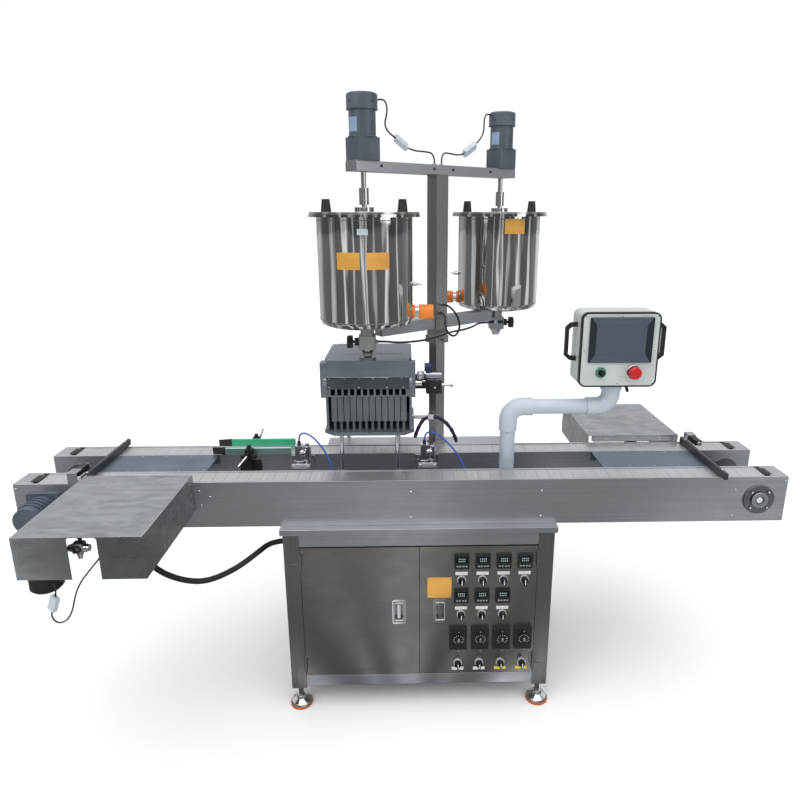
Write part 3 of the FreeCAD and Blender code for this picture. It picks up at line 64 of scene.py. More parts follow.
def home(node):
    """The body and the slot of a node, for small pieces that belong with it."""
    return body_of_node[node], slot_of_node[node]



# %% [markdown]
# # Colour as it is written in a paint book
# Colours are picked as sRGB hex values. A shader wants light, not code values, so one function
# takes the curve out of them. The other helpers each add one common step of a pattern.

# %% Colour and node helpers
def paint(code, alpha=1.0):
    """Linear colour of an sRGB hex value such as 'C8C9C7'."""
    channels = [int(code[i:i + 2], 16) / 255 for i in (0, 2, 4)]
    linear = [c / 12.92 if c <= 0.04045 else ((c + 0.055) / 1.055) ** 2.4 for c in channels]
    return (*linear, alpha)


def add_node(tree, kind, inputs=None, **settings):
    """Adds a node, sets its properties, and fills or links its inputs."""
    node = tree.nodes.new(kind)
    for name, value in settings.items():
        setattr(node, name, value)
    for socket, value in (inputs or {}).items():
        target = node.inputs[socket]
        if isinstance(value, bpy.types.NodeSocket):
            tree.links.new(value, target)
        else:
            target.default_value = value
    return node


def scaled(tree, value, factor):
    """A value times a factor."""
    return add_node(tree, "ShaderNodeMath", {0: value, 1: factor}, operation="MULTIPLY").outputs["Value"]


def surface(name, colour, metallic, roughness):
    """A new material with its shader set; patterns are linked on afterwards."""
    material = bpy.data.materials.new(name)
    material.use_nodes = True
    shader = material.node_tree.nodes["Principled BSDF"]
    shader.inputs["Base Color"].default_value = paint(colour)
    shader.inputs["Metallic"].default_value = metallic
    shader.inputs["Roughness"].default_value = roughness
    material.diffuse_color = paint(colour)
    return material, material.node_tree, shader


def linked(name, data):
    """A new object in the scene."""
    thing = bpy.data.objects.new(name, data)
    bpy.context.scene.collection.objects.link(thing)
    return thing


def place_on_object(tree):
    """The place on the object, so that a pattern rides with it."""
    return add_node(tree, "ShaderNodeTexCoord").outputs["Object"]


def stretched(tree, place, scale, turn=0.0):
    """A place that is scaled by axis and turned about Z."""
    mapping = add_node(tree, "ShaderNodeMapping", {"Vector": place, "Scale": scale,
                                                   "Rotation": (0.0, 0.0, turn)})
    return mapping.outputs["Vector"]


def noise(tree, place, scale, detail, roughness=0.5, distortion=0.0):
    """A share that wanders from place to place."""
    texture = add_node(tree, "ShaderNodeTexNoise", {"Vector": place, "Scale": scale, "Detail": detail,
                                                    "Roughness": roughness, "Distortion": distortion})
    return texture.outputs["Fac"]


def two_tone(tree, shader, share, dark, dark_at, light, light_at):
    """Base colour that goes from dark to light with a share."""
    tint = add_node(tree, "ShaderNodeValToRGB", {"Fac": share})
    for element, at, code in zip(tint.color_ramp.elements, (dark_at, light_at), (dark, light)):
        element.position = at
        element.color = paint(code)
    tree.links.new(tint.outputs["Color"], shader.inputs["Base Color"])


def uneven_gloss(tree, shader, share, low, high, at_low, at_high):
    """Roughness at_low where the share is low, and at_high where it is high."""
    spread = add_node(tree, "ShaderNodeMapRange", {"Value": share, "From Min": low, "From Max": high,
                                                   "To Min": at_low, "To Max": at_high})
    tree.links.new(spread.outputs["Result"], shader.inputs["Roughness"])


def bumped(tree, shader, height, strength, distance):
    """Small bumps as high as a share says."""
    bump = add_node(tree, "ShaderNodeBump", {"Height": height, "Strength": strength, "Distance": distance})
    tree.links.new(bump.outputs["Normal"], shader.inputs["Normal"])


# %% [markdown]
# # Brushed, swirled and mirror-polished stainless steel
# Most of the machine is 304 stainless. Belt grinding leaves fine parallel scratches, which a noise
# stretched a hundredfold along one axis gives. Real grain is under a tenth of a millimetre and
# would vanish at this distance, so it is drawn about four millimetres wide. A second, slow noise
# makes the patches that handling and rolled sheet leave.

# %% Steel finishes
GRAIN_ACROSS = 260.0
GRAIN_ALONG = 2.2


def brushed_steel(name, light, dark, grain, roughness, depth=0.06):
    """Stainless with grain along one axis ('x', 'y' or 'z')."""
    material, tree, shader = surface(name, light, 1.0, roughness)
    place = place_on_object(tree)
    stretch = [GRAIN_ACROSS] * 3
    stretch["xyz".index(grain)] = GRAIN_ALONG
    lines = noise(tree, stretched(tree, place, stretch), 1.0, 3.0, 0.6)
    cloud = noise(tree, place, 5.0, 4.0, distortion=0.6)
    mixed = add_node(tree, "ShaderNodeMath", {0: lines, 1: cloud, 2: 0.15}, operation="MULTIPLY_ADD")
    both = mixed.outputs["Value"]
    two_tone(tree, shader, both, dark, 0.22, light, 0.62)
    uneven_gloss(tree, shader, both, 0.2, 0.7, roughness + 0.12, roughness - 0.08)
    bumped(tree, shader, lines, depth, 0.002)
    return material


def polished_steel(name, colour, roughness, wave, stretch=(9.0, 9.0, 9.0)):
    """Mirror finish; rolled sheet is never quite flat, so reflections waver."""
    material, tree, shader = surface(name, colour, 1.0, roughness)
    place = place_on_object(tree)
    bumped(tree, shader, noise(tree, stretched(tree, place, stretch), 1.0, 1.5), wave, 0.01)
    uneven_gloss(tree, shader, noise(tree, place, 40.0, 5.0), 0.35, 0.75, roughness, roughness + 0.06)
    return material


def swirled_steel(name, light, dark, roughness, gloss_spread):
    """Sheet finished with a hand-held pad: soft clouds about 150 mm wide and finger-wide smears."""
    material, tree, shader = surface(name, light, 1.0, roughness)
    place = place_on_object(tree)
    cloud = noise(tree, place, 7.0, 5.0, 0.55, 0.9)
    smear = noise(tree, stretched(tree, place, (9.0, 26.0, 18.0), 0.6), 1.0, 3.0, distortion=1.4)
    both = add_node(tree, "ShaderNodeMath", {0: cloud, 1: smear}, operation="ADD").outputs["Value"]
    two_tone(tree, shader, scaled(tree, both, 0.5), dark, 0.36, light, 0.60)
    uneven_gloss(tree, shader, smear, 0.35, 0.65, roughness + gloss_spread, roughness - gloss_spread * 0.6)
    return material


steel_along = brushed_steel("stainless_brushed_lengthwise", "CFD1D4", "AEB0B3", "x", 0.34)
steel_upright = brushed_steel("stainless_brushed_upright", "A09F9C", "7F7E7A", "z", 0.32)
steel_column = brushed_steel("stainless_column_tube", "C3C2BE", "9B9994", "z", 0.28)
steel_dark = swirled_steel("stainless_door_sheet", "9F9C96", "94918B", 0.30, 0.03)
steel_slat = brushed_steel("stainless_slat", "E0E1E2", "BDBDBC", "y", 0.38)
steel_cover = swirled_steel("stainless_hand_finished", "B2B5B6", "949798", 0.27, 0.06)
mirror_steel = polished_steel("stainless_mirror", "C5C5C3", 0.03, 0.30, (24.0, 24.0, 2.5))
lid_steel = polished_steel("stainless_polished_lid", "C9CAC9", 0.16, 0.04)
chrome = polished_steel("chrome_plate", "D5D6D8", 0.10, 0.01)
print("steel finishes made")

# %% [markdown]
# # Paint, castings and plastics
# Powder coat and cast housings have a fine orange-peel skin, and moulded plastic a finer one.
# A noise at the real grain size drives a small bump and a little change of gloss.

# %% Grained finishes
def grained(name, colour, metallic, roughness, grain_mm, depth, second):
    """Paint, casting or moulded plastic with a skin of one grain size."""
    material, tree, shader = surface(name, colour, metallic, roughness)
    place = place_on_object(tree)
    bumped(tree, shader, noise(tree, place, 1 / (grain_mm * MM), 2.0), depth, 0.001)
    wear = noise(tree, place, 14.0, 5.0)
    uneven_gloss(tree, shader, wear, 0.3, 0.7, roughness - 0.07, roughness + 0.1)
    two_tone(tree, shader, wear, second, 0.3, colour, 0.6)
    return material


anodised = grained("anodised_aluminium", "B4B7BA", 1.0, 0.38, 1.5, 0.05, "A2A5A9")
dark_anodised = grained("dark_anodised_aluminium", "55575B", 0.85, 0.42, 1.5, 0.08, "484A4E")
gear_paint = grained("blue_grey_gearbox_paint", "59626D", 0.3, 0.45, 2.5, 0.15, "49525D")
motor_paint = grained("dark_grey_motor_paint", "5B626C", 0.35, 0.42, 2.0, 0.15, "4D545D")
black_abs = grained("black_moulded_plastic", "17181A", 0.0, 0.42, 0.8, 0.12, "1F2022")
orange_cap = grained("orange_moulded_plastic", "F0872A", 0.0, 0.35, 0.8, 0.08, "E6791E")
red_cap = grained("red_moulded_plastic", "C4161C", 0.0, 0.30, 0.8, 0.06, "B01118")
white_pvc = grained("white_pvc_pipe", "B6BFC9", 0.0, 0.34, 1.2, 0.05, "BEC5CC")
grey_enamel = grained("light_grey_enamel", "C3C8C6", 0.1, 0.40, 1.6, 0.10, "B9BEBC")
orange_rubber = grained("orange_rubber_pad", "C4683C", 0.0, 0.60, 1.5, 0.15, "B25A30")
blue_tube = grained("blue_polyurethane_tube", "3556B4", 0.0, 0.24, 3.0, 0.02, "2C4AA4")
cable_jacket = grained("black_cable_jacket", "1B1B1E", 0.0, 0.50, 1.0, 0.10, "242427")
green_uhmw = grained("green_sliding_plastic", "35A87E", 0.0, 0.40, 1.5, 0.06, "2E9A72")
print("grained finishes made")

# %% [markdown]
# # Camera
# The photograph was taken from about chest height, a little left of the middle, with a lens near
# that of a phone. The place and lens were solved from the conveyors' straight edges.

# %% Camera
camera_data = bpy.data.cameras.new("photo_camera")
camera_data.lens = 28.42
camera_data.sensor_width = 36.0
camera_data.shift_x = -0.0291
camera_data.shift_y = -0.0146
camera_data.clip_start = 0.05
camera_data.clip_end = 60.0
camera = linked("photo_camera", camera_data)
camera.location = (0.0067, -1.9977, 1.6461)
camera.rotation_euler = (math.radians(90 - 15.58), 0.0, math.radians(-1.44))
bpy.context.scene.camera = camera

# %% [markdown]
# # Cables and hoses
# A cable is one smooth line through the points it is laid by, so each is a NURBS curve with a
# round section. The points are the same as in the engineering model.

# %% Lay the cords
LEAD_GLAND_TOP = 1800.0


def cord_curve(name, points_mm, diameter_mm, material):
    """A round cord along one open NURBS spline."""
    curve = bpy.data.curves.new(name, "CURVE")
    curve.dimensions = "3D"
    curve.resolution_u = 6
    curve.bevel_depth = diameter_mm * MM / 2
    curve.bevel_resolution = 3
    curve.use_fill_caps = True
    spline = curve.splines.new("NURBS")
    spline.points.add(len(points_mm) - 1)
    for point, place in zip(spline.points, points_mm):
        point.co = (place[0] * MM, place[1] * MM, place[2] * MM, 1.0)
    spline.order_u = 3
    spline.use_endpoint_u = True
    curve.materials.append(material)
    return linked(name, curve)


loom_route = [(-830, -178.5, 790), (-830, -218, 782), (-826, -256, 745), (-816, -272, 690),
              (-795, -270, 632), (-757, -258, 578), (-700, -243, 540), (-632, -225, 522),
              (-552, -182, 540), (-496, -135, 566), (-450, -88, 588), (-393, -88, 588)]
drive_lead_route = [(-1090.7, -260.8, 548), (-1078, -273.5, 550), (-1068, -284, 540), (-1071, -288, 518),
                    (-1091, -283, 470), (-1098, -281, 441), (-1082, -281, 419), (-1052, -281, 428),
                    (-1031, -279, 464), (-1021, -275, 507), (-1005, -264, 549), (-975, -247, 587),
                    (-938, -228, 630), (-912, -210, 672), (-903, -196, 703), (-903, -170.5, 708)]
left_lead_route = [(-80.7, 48.5, 1968), (-62, 63, 1976), (-50, 72.5, 1956), (-53, 70, 1928),
                   (-60, 66, 1902), (-47, 75, 1880), (-27, 90, 1868), (8, 118, 1842), (31, 136, 1834),
                   (62, 160, 1834),
                   (98, 188.1, 1831), (98, 188.1, LEAD_GLAND_TOP)]
right_lead_route = [(300.7, 346.5, 1968), (287, 336, 1972), (276, 327.5, 1963), (273, 325, 1943),
                    (274, 326, 1918), (266, 319, 1895), (241, 299.5, 1866), (202, 269.5, 1837),
                    (180, 252, 1830), (152, 230, 1834), (122, 206.9, 1835), (122, 206.9, LEAD_GLAND_TOP)]
gland_loop_route = [(130.3, 171.5, 1340), (144, 154, 1340), (166, 147, 1322), (184, 160, 1290),
                    (188, 166, 1255), (171, 153, 1231), (147, 133, 1243), (133, 121, 1276), (138, 142, 1308),
                    (120.9, 164.1, 1313)]
valve_cable_route = [(-88.3, 15.3, 1243), (-60, 20, 1242), (-26, 35, 1235), (22, 73, 1230), (68, 108, 1229),
                     (112, 143, 1233), (156, 178, 1243), (205, 219, 1243), (244, 262, 1247),
                     (264, 312, 1248), (280, 352, 1245), (308.3, 372, 1243)]
left_hose_route = [(-369, 53.5, 888), (-368, 53, 908), (-354, 48, 921), (-332, 40, 918), (-303, 28, 898),
                   (-272, 10, 861), (-250, -8, 815), (-240, -20, 768), (-237, -26, 726), (-237, -26, 688)]
right_hose_route = [(62, 53.5, 888), (63, 53, 908), (78, 50, 921), (100, 44, 918), (131, 34, 898),
                    (167, 20, 861), (195, 2, 816), (209, -12, 768), (214, -20, 726), (214, -20, 688)]

loom_sleeve = grained("braided_loom_sleeve", "141416", 0.0, 0.62, 2.4, 0.45, "232326")
cords = [
    ("main_loom", loom_route, 18.0, loom_sleeve, "medium", 0.706),
    ("drive_lead", drive_lead_route, 5.0, cable_jacket, "limp", 0.540),
    ("left_motor_lead", left_lead_route, 5.0, cable_jacket, "limp", 0.340),
    ("right_motor_lead", right_lead_route, 5.0, cable_jacket, "limp", 0.330),
    ("gland_loop", gland_loop_route, 7.0, cable_jacket, "limp", 0.281),
    ("valve_cable", valve_cable_route, 7.0, cable_jacket, "medium", 0.551),
    ("left_air_hose", left_hose_route, 6.0, blue_tube, "medium", 0.333),
    ("right_air_hose", right_hose_route, 6.0, blue_tube, "medium", 0.341),
]
for node, route, diameter, material, stiffness, length in cords:
    piece = cord_curve(node + "_run", route, diameter, material)
    centre_line = piece.data.copy()
    centre_line.bevel_depth = 0.0
    probe = bpy.data.objects.new("probe", centre_line)
    points = bpy.data.meshes.new_from_object(probe)
    measured = sum((points.vertices[e.vertices[0]].co - points.vertices[e.vertices[1]].co).length
                   for e in points.edges)
    bpy.data.objects.remove(probe)
    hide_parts(node)
    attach(piece, body_of_node[node])
    print(node, "measures", round(measured, 4), "m and is stated as", length)

# %% [markdown]
# # From loose triangles to crisp sheet metal
# A CAD part arrives as loose triangles. Each shown part is copied, its doubles are merged and its
# flat faces joined, so that a small bevel can run along every edge. Real edges are never sharp,
# and the thin highlight they catch is what makes metal read as metal. Where one node holds
# several materials, its separate solids are sorted into pieces by where they are.

# %% Cleaning and sorting a node's solids
def solids_of(node):
    """The separate solids of a node as (bmesh, centre in mm, size in mm)."""
    whole = bmesh.new()
    whole.from_mesh(nodes[node].data)
    bmesh.ops.transform(whole, matrix=nodes[node].matrix_world, verts=whole.verts)
    bmesh.ops.remove_doubles(whole, verts=whole.verts, dist=0.00001)
    seen = set()
    found = []
    for first in whole.verts:
        if first in seen:
            continue
        stack = [first]
        members = {first}
        while stack:
            for edge in stack.pop().link_edges:
                for vertex in edge.verts:
                    if vertex not in members:
                        members.add(vertex)
                        stack.append(vertex)
        seen |= members
        low = [min(v.co[i] for v in members) for i in range(3)]
        high = [max(v.co[i] for v in members) for i in range(3)]
        centre = [(a + b) / 2 / MM for a, b in zip(low, high)]
        size = [(b - a) / MM for a, b in zip(low, high)]
        found.append((members, centre, size))
    return whole, found


def piece_from_solids(name, whole, groups, material, bevel_mm, merge_flats):
    """One object from some solids of a cleaned node."""
    keep = set()
    for members in groups:
        keep |= members
    copy = whole.copy()
    copy.verts.ensure_lookup_table()
    whole.verts.ensure_lookup_table()
    wanted = {v.index for v in keep}
    bmesh.ops.delete(copy, geom=[v for v in copy.verts if v.index not in wanted], context="VERTS")
    if merge_flats:
        bmesh.ops.dissolve_limit(copy, angle_limit=math.radians(1.0), verts=copy.verts, edges=copy.edges)
    for face in copy.faces:
        face.smooth = True
    for edge in copy.edges:
        edge.smooth = len(edge.link_faces) == 2 and edge.calc_face_angle(0.0) < math.radians(32)
    mesh = bpy.data.meshes.new(name)
    copy.to_mesh(mesh)
    copy.free()
    mesh.materials.append(material)
    piece = linked(name, mesh)
    if bevel_mm:
        bevel = piece.modifiers.new("edge_highlight", "BEVEL")
        bevel.width = bevel_mm * MM
        bevel.segments = 2
        bevel.limit_method = "ANGLE"
        bevel.angle_limit = math.radians(40)
    even = piece.modifiers.new("flat_faces_stay_flat", "WEIGHTED_NORMAL")
    even.keep_sharp = True
    return piece


def dress(node, finishes, chooser=None, bevel_mm=0.6, merge_flats=True):
    """Replaces a node by pieces; chooser gives the finish name for a solid's centre and size."""
    whole, found = solids_of(node)
    whole.verts.index_update()
    sorted_solids = {}
    for members, centre, size in found:
        key = chooser(centre, size) if chooser else next(iter(finishes))
        sorted_solids.setdefault(key, []).append(members)
    for key, groups in sorted_solids.items():
        piece = piece_from_solids(node + "_" + key, whole, groups, finishes[key], bevel_mm, merge_flats)
        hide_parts(node)
        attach(piece, body_of_node[node])
    whole.free()
    print(node, {key: len(groups) for key, groups in sorted_solids.items()})


def slim_spindle(piece, reach, share):
    """Draws a knob's spindle in round its own axis, so that its facets turn freely in the bore."""
    low = [min(vertex.co[i] for vertex in piece.data.vertices) for i in range(3)]
    high = [max(vertex.co[i] for vertex in piece.data.vertices) for i in range(3)]
    middle = [(low[i] + high[i]) / 2 for i in range(3)]
    for vertex in piece.data.vertices:
        across = vertex.co[1] - middle[1]
        up = vertex.co[2] - middle[2]
        if math.hypot(across, up) < reach:
            vertex.co[1] = middle[1] + across * share
            vertex.co[2] = middle[2] + up * share


# %% [markdown]
# # One material per surface, not per part
# A welded or screwed-up part often carries several finishes: a motor has a painted body and a
# plastic cap. Here a rule reads where a face lies, in millimetres, and names its finish.

# %% Painting faces by their place
def paint_faces(name, finishes, rule):
    """Gives each face of a piece the finish that the rule names for its middle point in mm."""
    piece = bpy.data.objects[name]
    names = list(finishes)
    piece.data.materials.clear()
    for finish in finishes.values():
        piece.data.materials.append(finish)
    for face in piece.data.polygons:
        x, y, z = (v / MM for v in face.center)
        face.material_index = names.index(rule(x, y, z, face.normal))


def new_piece(name, mesh, body, replaced=()):
    piece = linked(name, mesh)
    for node in replaced:
        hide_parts(node)
    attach(piece, body)
    return piece


# %% [markdown]
# # Small parts that repeat: Geometry Nodes
# Screws, buttons and ribs repeat by the dozen. One tree makes a screw and sets it on every point
# it is given, turned to the way the point faces; a second does the same for a small block. A
# point carries two arrows, "facing" and "along". The result is turned into a plain mesh, because
# instances don't survive an export.

# %% Trees for screws and blocks
def sizes_tree(name, sizes, build):
    """A tree that builds one part from named sizes and sets it on each point."""
    tree = bpy.data.node_groups.new(name, "GeometryNodeTree")
    tree.interface.new_socket(name="Points", in_out="INPUT", socket_type="NodeSocketGeometry")
    for label, kind in sizes.items():
        tree.interface.new_socket(name=label, in_out="INPUT", socket_type=kind)
    for label in ("Finish", "Recess finish"):
        tree.interface.new_socket(name=label, in_out="INPUT", socket_type="NodeSocketMaterial")
    tree.interface.new_socket(name="Parts", in_out="OUTPUT", socket_type="NodeSocketGeometry")
    given = add_node(tree, "NodeGroupInput")
    arrows = {}
    for label in ("facing", "along"):
        arrows[label] = add_node(tree, "GeometryNodeInputNamedAttribute", {"Name": label},
                                 data_type="FLOAT_VECTOR").outputs["Attribute"]
    upright = add_node(tree, "FunctionNodeAlignRotationToVector", {"Vector": arrows["facing"]}, axis="Z")
    turned = add_node(tree, "FunctionNodeAlignRotationToVector",
                      {"Rotation": upright.outputs["Rotation"], "Vector": arrows["along"]},
                      axis="X", pivot_axis="Z")
    placed = add_node(tree, "GeometryNodeInstanceOnPoints",
                      {"Points": given.outputs["Points"], "Instance": build(tree, given),
                       "Rotation": turned.outputs["Rotation"]})
    real = add_node(tree, "GeometryNodeRealizeInstances", {"Geometry": placed.outputs["Instances"]})
    outside = add_node(tree, "GeometryNodeSetMaterial", {"Geometry": real.outputs["Geometry"],
                                                         "Material": given.outputs["Finish"]})
    recess = add_node(tree, "GeometryNodeInputNamedAttribute", {"Name": "recess"}, data_type="BOOLEAN")
    inside = add_node(tree, "GeometryNodeSetMaterial",
                      {"Geometry": outside.outputs["Geometry"], "Selection": recess.outputs["Attribute"],
                       "Material": given.outputs["Recess finish"]})
    add_node(tree, "NodeGroupOutput", {"Parts": inside.outputs["Geometry"]})
    return tree


def lifted(tree, geometry, height):
    offset = add_node(tree, "ShaderNodeCombineXYZ", {"Z": height})
    moved = add_node(tree, "GeometryNodeTransform", {"Geometry": geometry,
                                                     "Translation": offset.outputs["Vector"]})
    return moved.outputs["Geometry"]


def marked_recess(tree, geometry):
    mark = add_node(tree, "GeometryNodeStoreNamedAttribute", {"Geometry": geometry, "Name": "recess"},
                    data_type="BOOLEAN", domain="FACE")
    mark.inputs["Value"].default_value = True
    return mark.outputs["Geometry"]


def screw_part(tree, given):
    """A washer-flat rim, a domed crown and a dark hexagon socket."""
    radius = given.outputs["Radius"]
    height = given.outputs["Height"]
    rim = add_node(tree, "GeometryNodeMeshCylinder", {"Vertices": 14, "Radius": radius,
                                                      "Depth": scaled(tree, height, 0.6)})
    crown = add_node(tree, "GeometryNodeMeshCone", {"Vertices": 14, "Radius Bottom": radius,
                                                    "Radius Top": scaled(tree, radius, 0.7),
                                                    "Depth": scaled(tree, height, 0.4)})
    socket = add_node(tree, "GeometryNodeMeshCylinder", {"Vertices": 6, "Radius": scaled(tree, radius, 0.4),
                                                         "Depth": scaled(tree, height, 0.1)})
    joined = add_node(tree, "GeometryNodeJoinGeometry")
    low = lifted(tree, rim.outputs["Mesh"], scaled(tree, height, 0.3))
    high = lifted(tree, crown.outputs["Mesh"], scaled(tree, height, 0.6))
    dark = marked_recess(tree, lifted(tree, socket.outputs["Mesh"], scaled(tree, height, 1.0)))
    for part in (low, high, dark):
        tree.links.new(part, joined.inputs["Geometry"])
    return joined.outputs["Geometry"]


def block_part(tree, given):
    """A small block that stands on the surface."""
    cube = add_node(tree, "GeometryNodeMeshCube", {"Size": given.outputs["Size"]})
    parts = add_node(tree, "ShaderNodeSeparateXYZ", {"Vector": given.outputs["Size"]})
    return lifted(tree, cube.outputs["Mesh"], scaled(tree, parts.outputs["Z"], 0.5))


screw_sizes = {"Radius": "NodeSocketFloat", "Height": "NodeSocketFloat"}
screw_tree = sizes_tree("socket_head_screws", screw_sizes, screw_part)
block_tree = sizes_tree("small_blocks", {"Size": "NodeSocketVector"}, block_part)


def baked(name, tree, spots, values):
    """Plain mesh of a tree run on spots of (place in mm, facing, along)."""
    points = bpy.data.meshes.new(name + "_points")
    points.from_pydata([Vector(place) * MM for place, _, _ in spots], [], [])
    for column, label in ((1, "facing"), (2, "along")):
        arrow = points.attributes.new(label, "FLOAT_VECTOR", "POINT")
        arrow.data.foreach_set("vector", [float(v) for spot in spots for v in spot[column]])
    carrier = linked(name + "_carrier", points)
    modifier = carrier.modifiers.new("repeat", "NODES")
    modifier.node_group = tree
    for item in tree.interface.items_tree:
        if item.item_type == "SOCKET" and item.in_out == "INPUT" and item.name in values:
            modifier[item.identifier] = values[item.name]
    depsgraph = bpy.context.evaluated_depsgraph_get()
    mesh = bpy.data.meshes.new_from_object(carrier.evaluated_get(depsgraph))
    bpy.data.objects.remove(carrier)
    mesh.name = name
    return mesh


def arrows(facing):
    """Unit arrows of a side written as '-y' or '+z': facing it, and along it."""
    sign = -1.0 if facing[0] == "-" else 1.0
    face = Vector([sign if axis == facing[1] else 0.0 for axis in "xyz"])
    return face, Vector((0, 1, 0)) if facing[1] == "x" else Vector((1, 0, 0))


def set_screws(name, body, slot, spots, radius, height, finish):
    """Screw heads on spots of (place, facing, along)."""
    mesh = baked(name, screw_tree, spots, {"Radius": radius * MM, "Height": height * MM, "Finish": finish,
                                           "Recess finish": black_abs})
    return new_piece(name, mesh, body)


def set_blocks(name, body, slot, spots, size, finish):
    """Small blocks of one size (along, across, tall) on spots of (place, facing, along)."""
    mesh = baked(name, block_tree, spots, {"Size": Vector(size) * MM, "Finish": finish})
    return new_piece(name, mesh, body)


def level_spots(places):
    """Spots from (x, y, z, side) places in mm."""
    return [((x, y, z), *arrows(side)) for x, y, z, side in places]


def screws(name, body, slot, places, radius, height):
    """Chrome screw heads at (x, y, z, side) places in mm."""
    return set_screws(name, body, slot, level_spots(places), radius, height, chrome)


def blocks(name, body, slot, places, size, finish):
    """Small blocks at (x, y, z, side) places in mm."""
    return set_blocks(name, body, slot, level_spots(places), size, finish)


# %% [markdown]
# # Small parts that are made once: mesh code
# A plate, a ring or a knob that appears once or twice is easier to write than to wire. These
# helpers add solid shapes to one mesh, each with its own finish, and bevel the plates so that
# their edges catch light.

# %% Mesh helpers
class Build:
    """Collects shapes in millimetres, then becomes one piece."""

    def __init__(self, name):
        self.name = name
        self.mesh = bmesh.new()
        self.finishes = []

    def _finish(self, faces, finish):
        if finish not in self.finishes:
            self.finishes.append(finish)
        for face in faces:
            face.material_index = self.finishes.index(finish)

    def _walls(self, rings):
        """Four-sided faces between each ring of corners and the next."""
        faces = []
        for low, high in zip(rings, rings[1:]):
            for i in range(len(low)):
                j = (i + 1) % len(low)
                faces.append(self.mesh.faces.new((low[i], low[j], high[j], high[i])))
        return faces

    def _ends(self, rings):
        return [self.mesh.faces.new(list(reversed(rings[0]))), self.mesh.faces.new(rings[-1])]

    def plate(self, low, high, finish, bevel=0.6):
        """A block between two corners with its edges rounded."""
        low, high = Vector(low) * MM, Vector(high) * MM
        made = bmesh.ops.create_cube(self.mesh, size=1.0)["verts"]
        for vertex in made:
            vertex.co = Vector(low[i] + (vertex.co[i] + 0.5) * (high[i] - low[i]) for i in range(3))
        faces = list(dict.fromkeys(face for vertex in made for face in vertex.link_faces))
        self._finish(faces, finish)
        if bevel:
            edges = list(dict.fromkeys(edge for face in faces for edge in face.edges))
            bmesh.ops.bevel(self.mesh, geom=edges, offset=bevel * MM, segments=2, profile=0.5,
                            affect="EDGES", material=-1)

    def turned(self, centre, axis, outline, finish, sides=32, flutes=0, depth=0.0):
        """A turned shape from (radius, height) pairs in mm along an axis from its centre."""
        centre = Vector(centre) * MM
        turn = Vector(axis).to_track_quat("Z", "Y").to_matrix()
        rings = []
        for radius, height in outline:
            ring = []
            for i in range(sides):
                angle = 2 * math.pi * i / sides
                reach = radius * (1 - depth * (0.5 - 0.5 * math.cos(angle * flutes))) if flutes else radius
                local = Vector((reach * math.cos(angle), reach * math.sin(angle), height)) * MM
                ring.append(self.mesh.verts.new(centre + turn @ local))
            rings.append(ring)
        self._finish(self._walls(rings) + self._ends(rings), finish)

    def collar(self, centre, axis, inner, outer, height, finish, sides=40):
        """A flat ring with a rounded outer edge."""
        centre = Vector(centre) * MM
        turn = Vector(axis).to_track_quat("Z", "Y").to_matrix()
        edge = min(0.25 * (outer - inner), 0.3 * height)
        profile = [(inner, 0), (outer, 0), (outer, height - edge), (outer - edge, height), (inner, height)]
        angles = [2 * math.pi * i / sides for i in range(sides)]
        rings = []
        for radius, rise in profile:
            places = [Vector((radius * math.cos(a), radius * math.sin(a), rise)) * MM for a in angles]
            rings.append([self.mesh.verts.new(centre + turn @ place) for place in places])
        self._finish(self._walls(rings + rings[:1]), finish)

    def wrapped(self, centre, radius, start, end, low, high, thick, finish, steps=10):
        """A thin plate bent round an upright drum, between two angles in degrees."""
        corners = []
        for i in range(steps + 1):
            angle = math.radians(start + (end - start) * i / steps)
            out = Vector((math.sin(angle), -math.cos(angle), 0))
            column = []
            for reach, z in ((radius, low), (radius + thick, low), (radius + thick, high), (radius, high)):
                column.append(self.mesh.verts.new((Vector((centre[0], centre[1], z)) + out * reach) * MM))
            corners.append(column)
        self._finish(self._walls(corners) + self._ends(corners), finish)

    def done(self, body, slot, replaced=(), smooth=35.0):
        bmesh.ops.recalc_face_normals(self.mesh, faces=self.mesh.faces)
        for face in self.mesh.faces:
            face.smooth = True
        for edge in self.mesh.edges:
            if len(edge.link_faces) == 2 and edge.calc_face_angle(0.0) > math.radians(smooth):
                edge.smooth = False
        mesh = bpy.data.meshes.new(self.name)
        self.mesh.to_mesh(mesh)
        self.mesh.free()
        for finish in self.finishes:
            mesh.materials.append(finish)
        return new_piece(self.name, mesh, body, replaced)


print("trees:", [tree.name for tree in bpy.data.node_groups])

# %% [markdown]
# # Conveyors
# The two conveyors are folded stainless channels with a slat chain running in the slot between
# their lips. The sheet was ground along its length. The slats were ground across, so they catch
# the light differently, and the joint lines between them show even from a distance.

# %% Conveyor finishes
dress("conveyor_channels", {"sheet": steel_along})
dress("slat_chains", {"slats": steel_slat}, bevel_mm=0.3)
disc_steel = brushed_steel("turned_dark_steel", "8B8E91", "6F7275", "y", 0.34)
dress("bearing_covers", {"disc": disc_steel})
for shaft in ("front_drive_shaft", "front_idler_shaft", "rear_drive_shaft", "rear_idler_shaft"):
    dress(shaft, {"turned": chrome})
transfer_blue = brushed_steel("stainless_blue_film", "838E98", "6D7984", "x", 0.36)


def transfer_kind(c, s):
    """The plates between the conveyors, the stop bars and their sensors."""
    if s[0] > 300:
        return "plate"
    if s[1] > 300:
        return "bar"
    return "eye" if 90 < abs(c[1]) < 130 else "sensor"


dress("transfer_plates", {"plate": transfer_blue, "bar": dark_anodised, "sensor": anodised,
                          "eye": black_abs}, transfer_kind)
dress("drive_housing", {"sheet": steel_along})

# %% [markdown]
# # Gearmotors and mixer motors
# The conveyor gearmotors have ribbed cast housings in blue-grey paint and a black plastic fan
# cap. The mixer motors are dark grey with a cap of the same grey and a flat bolted gearbox.

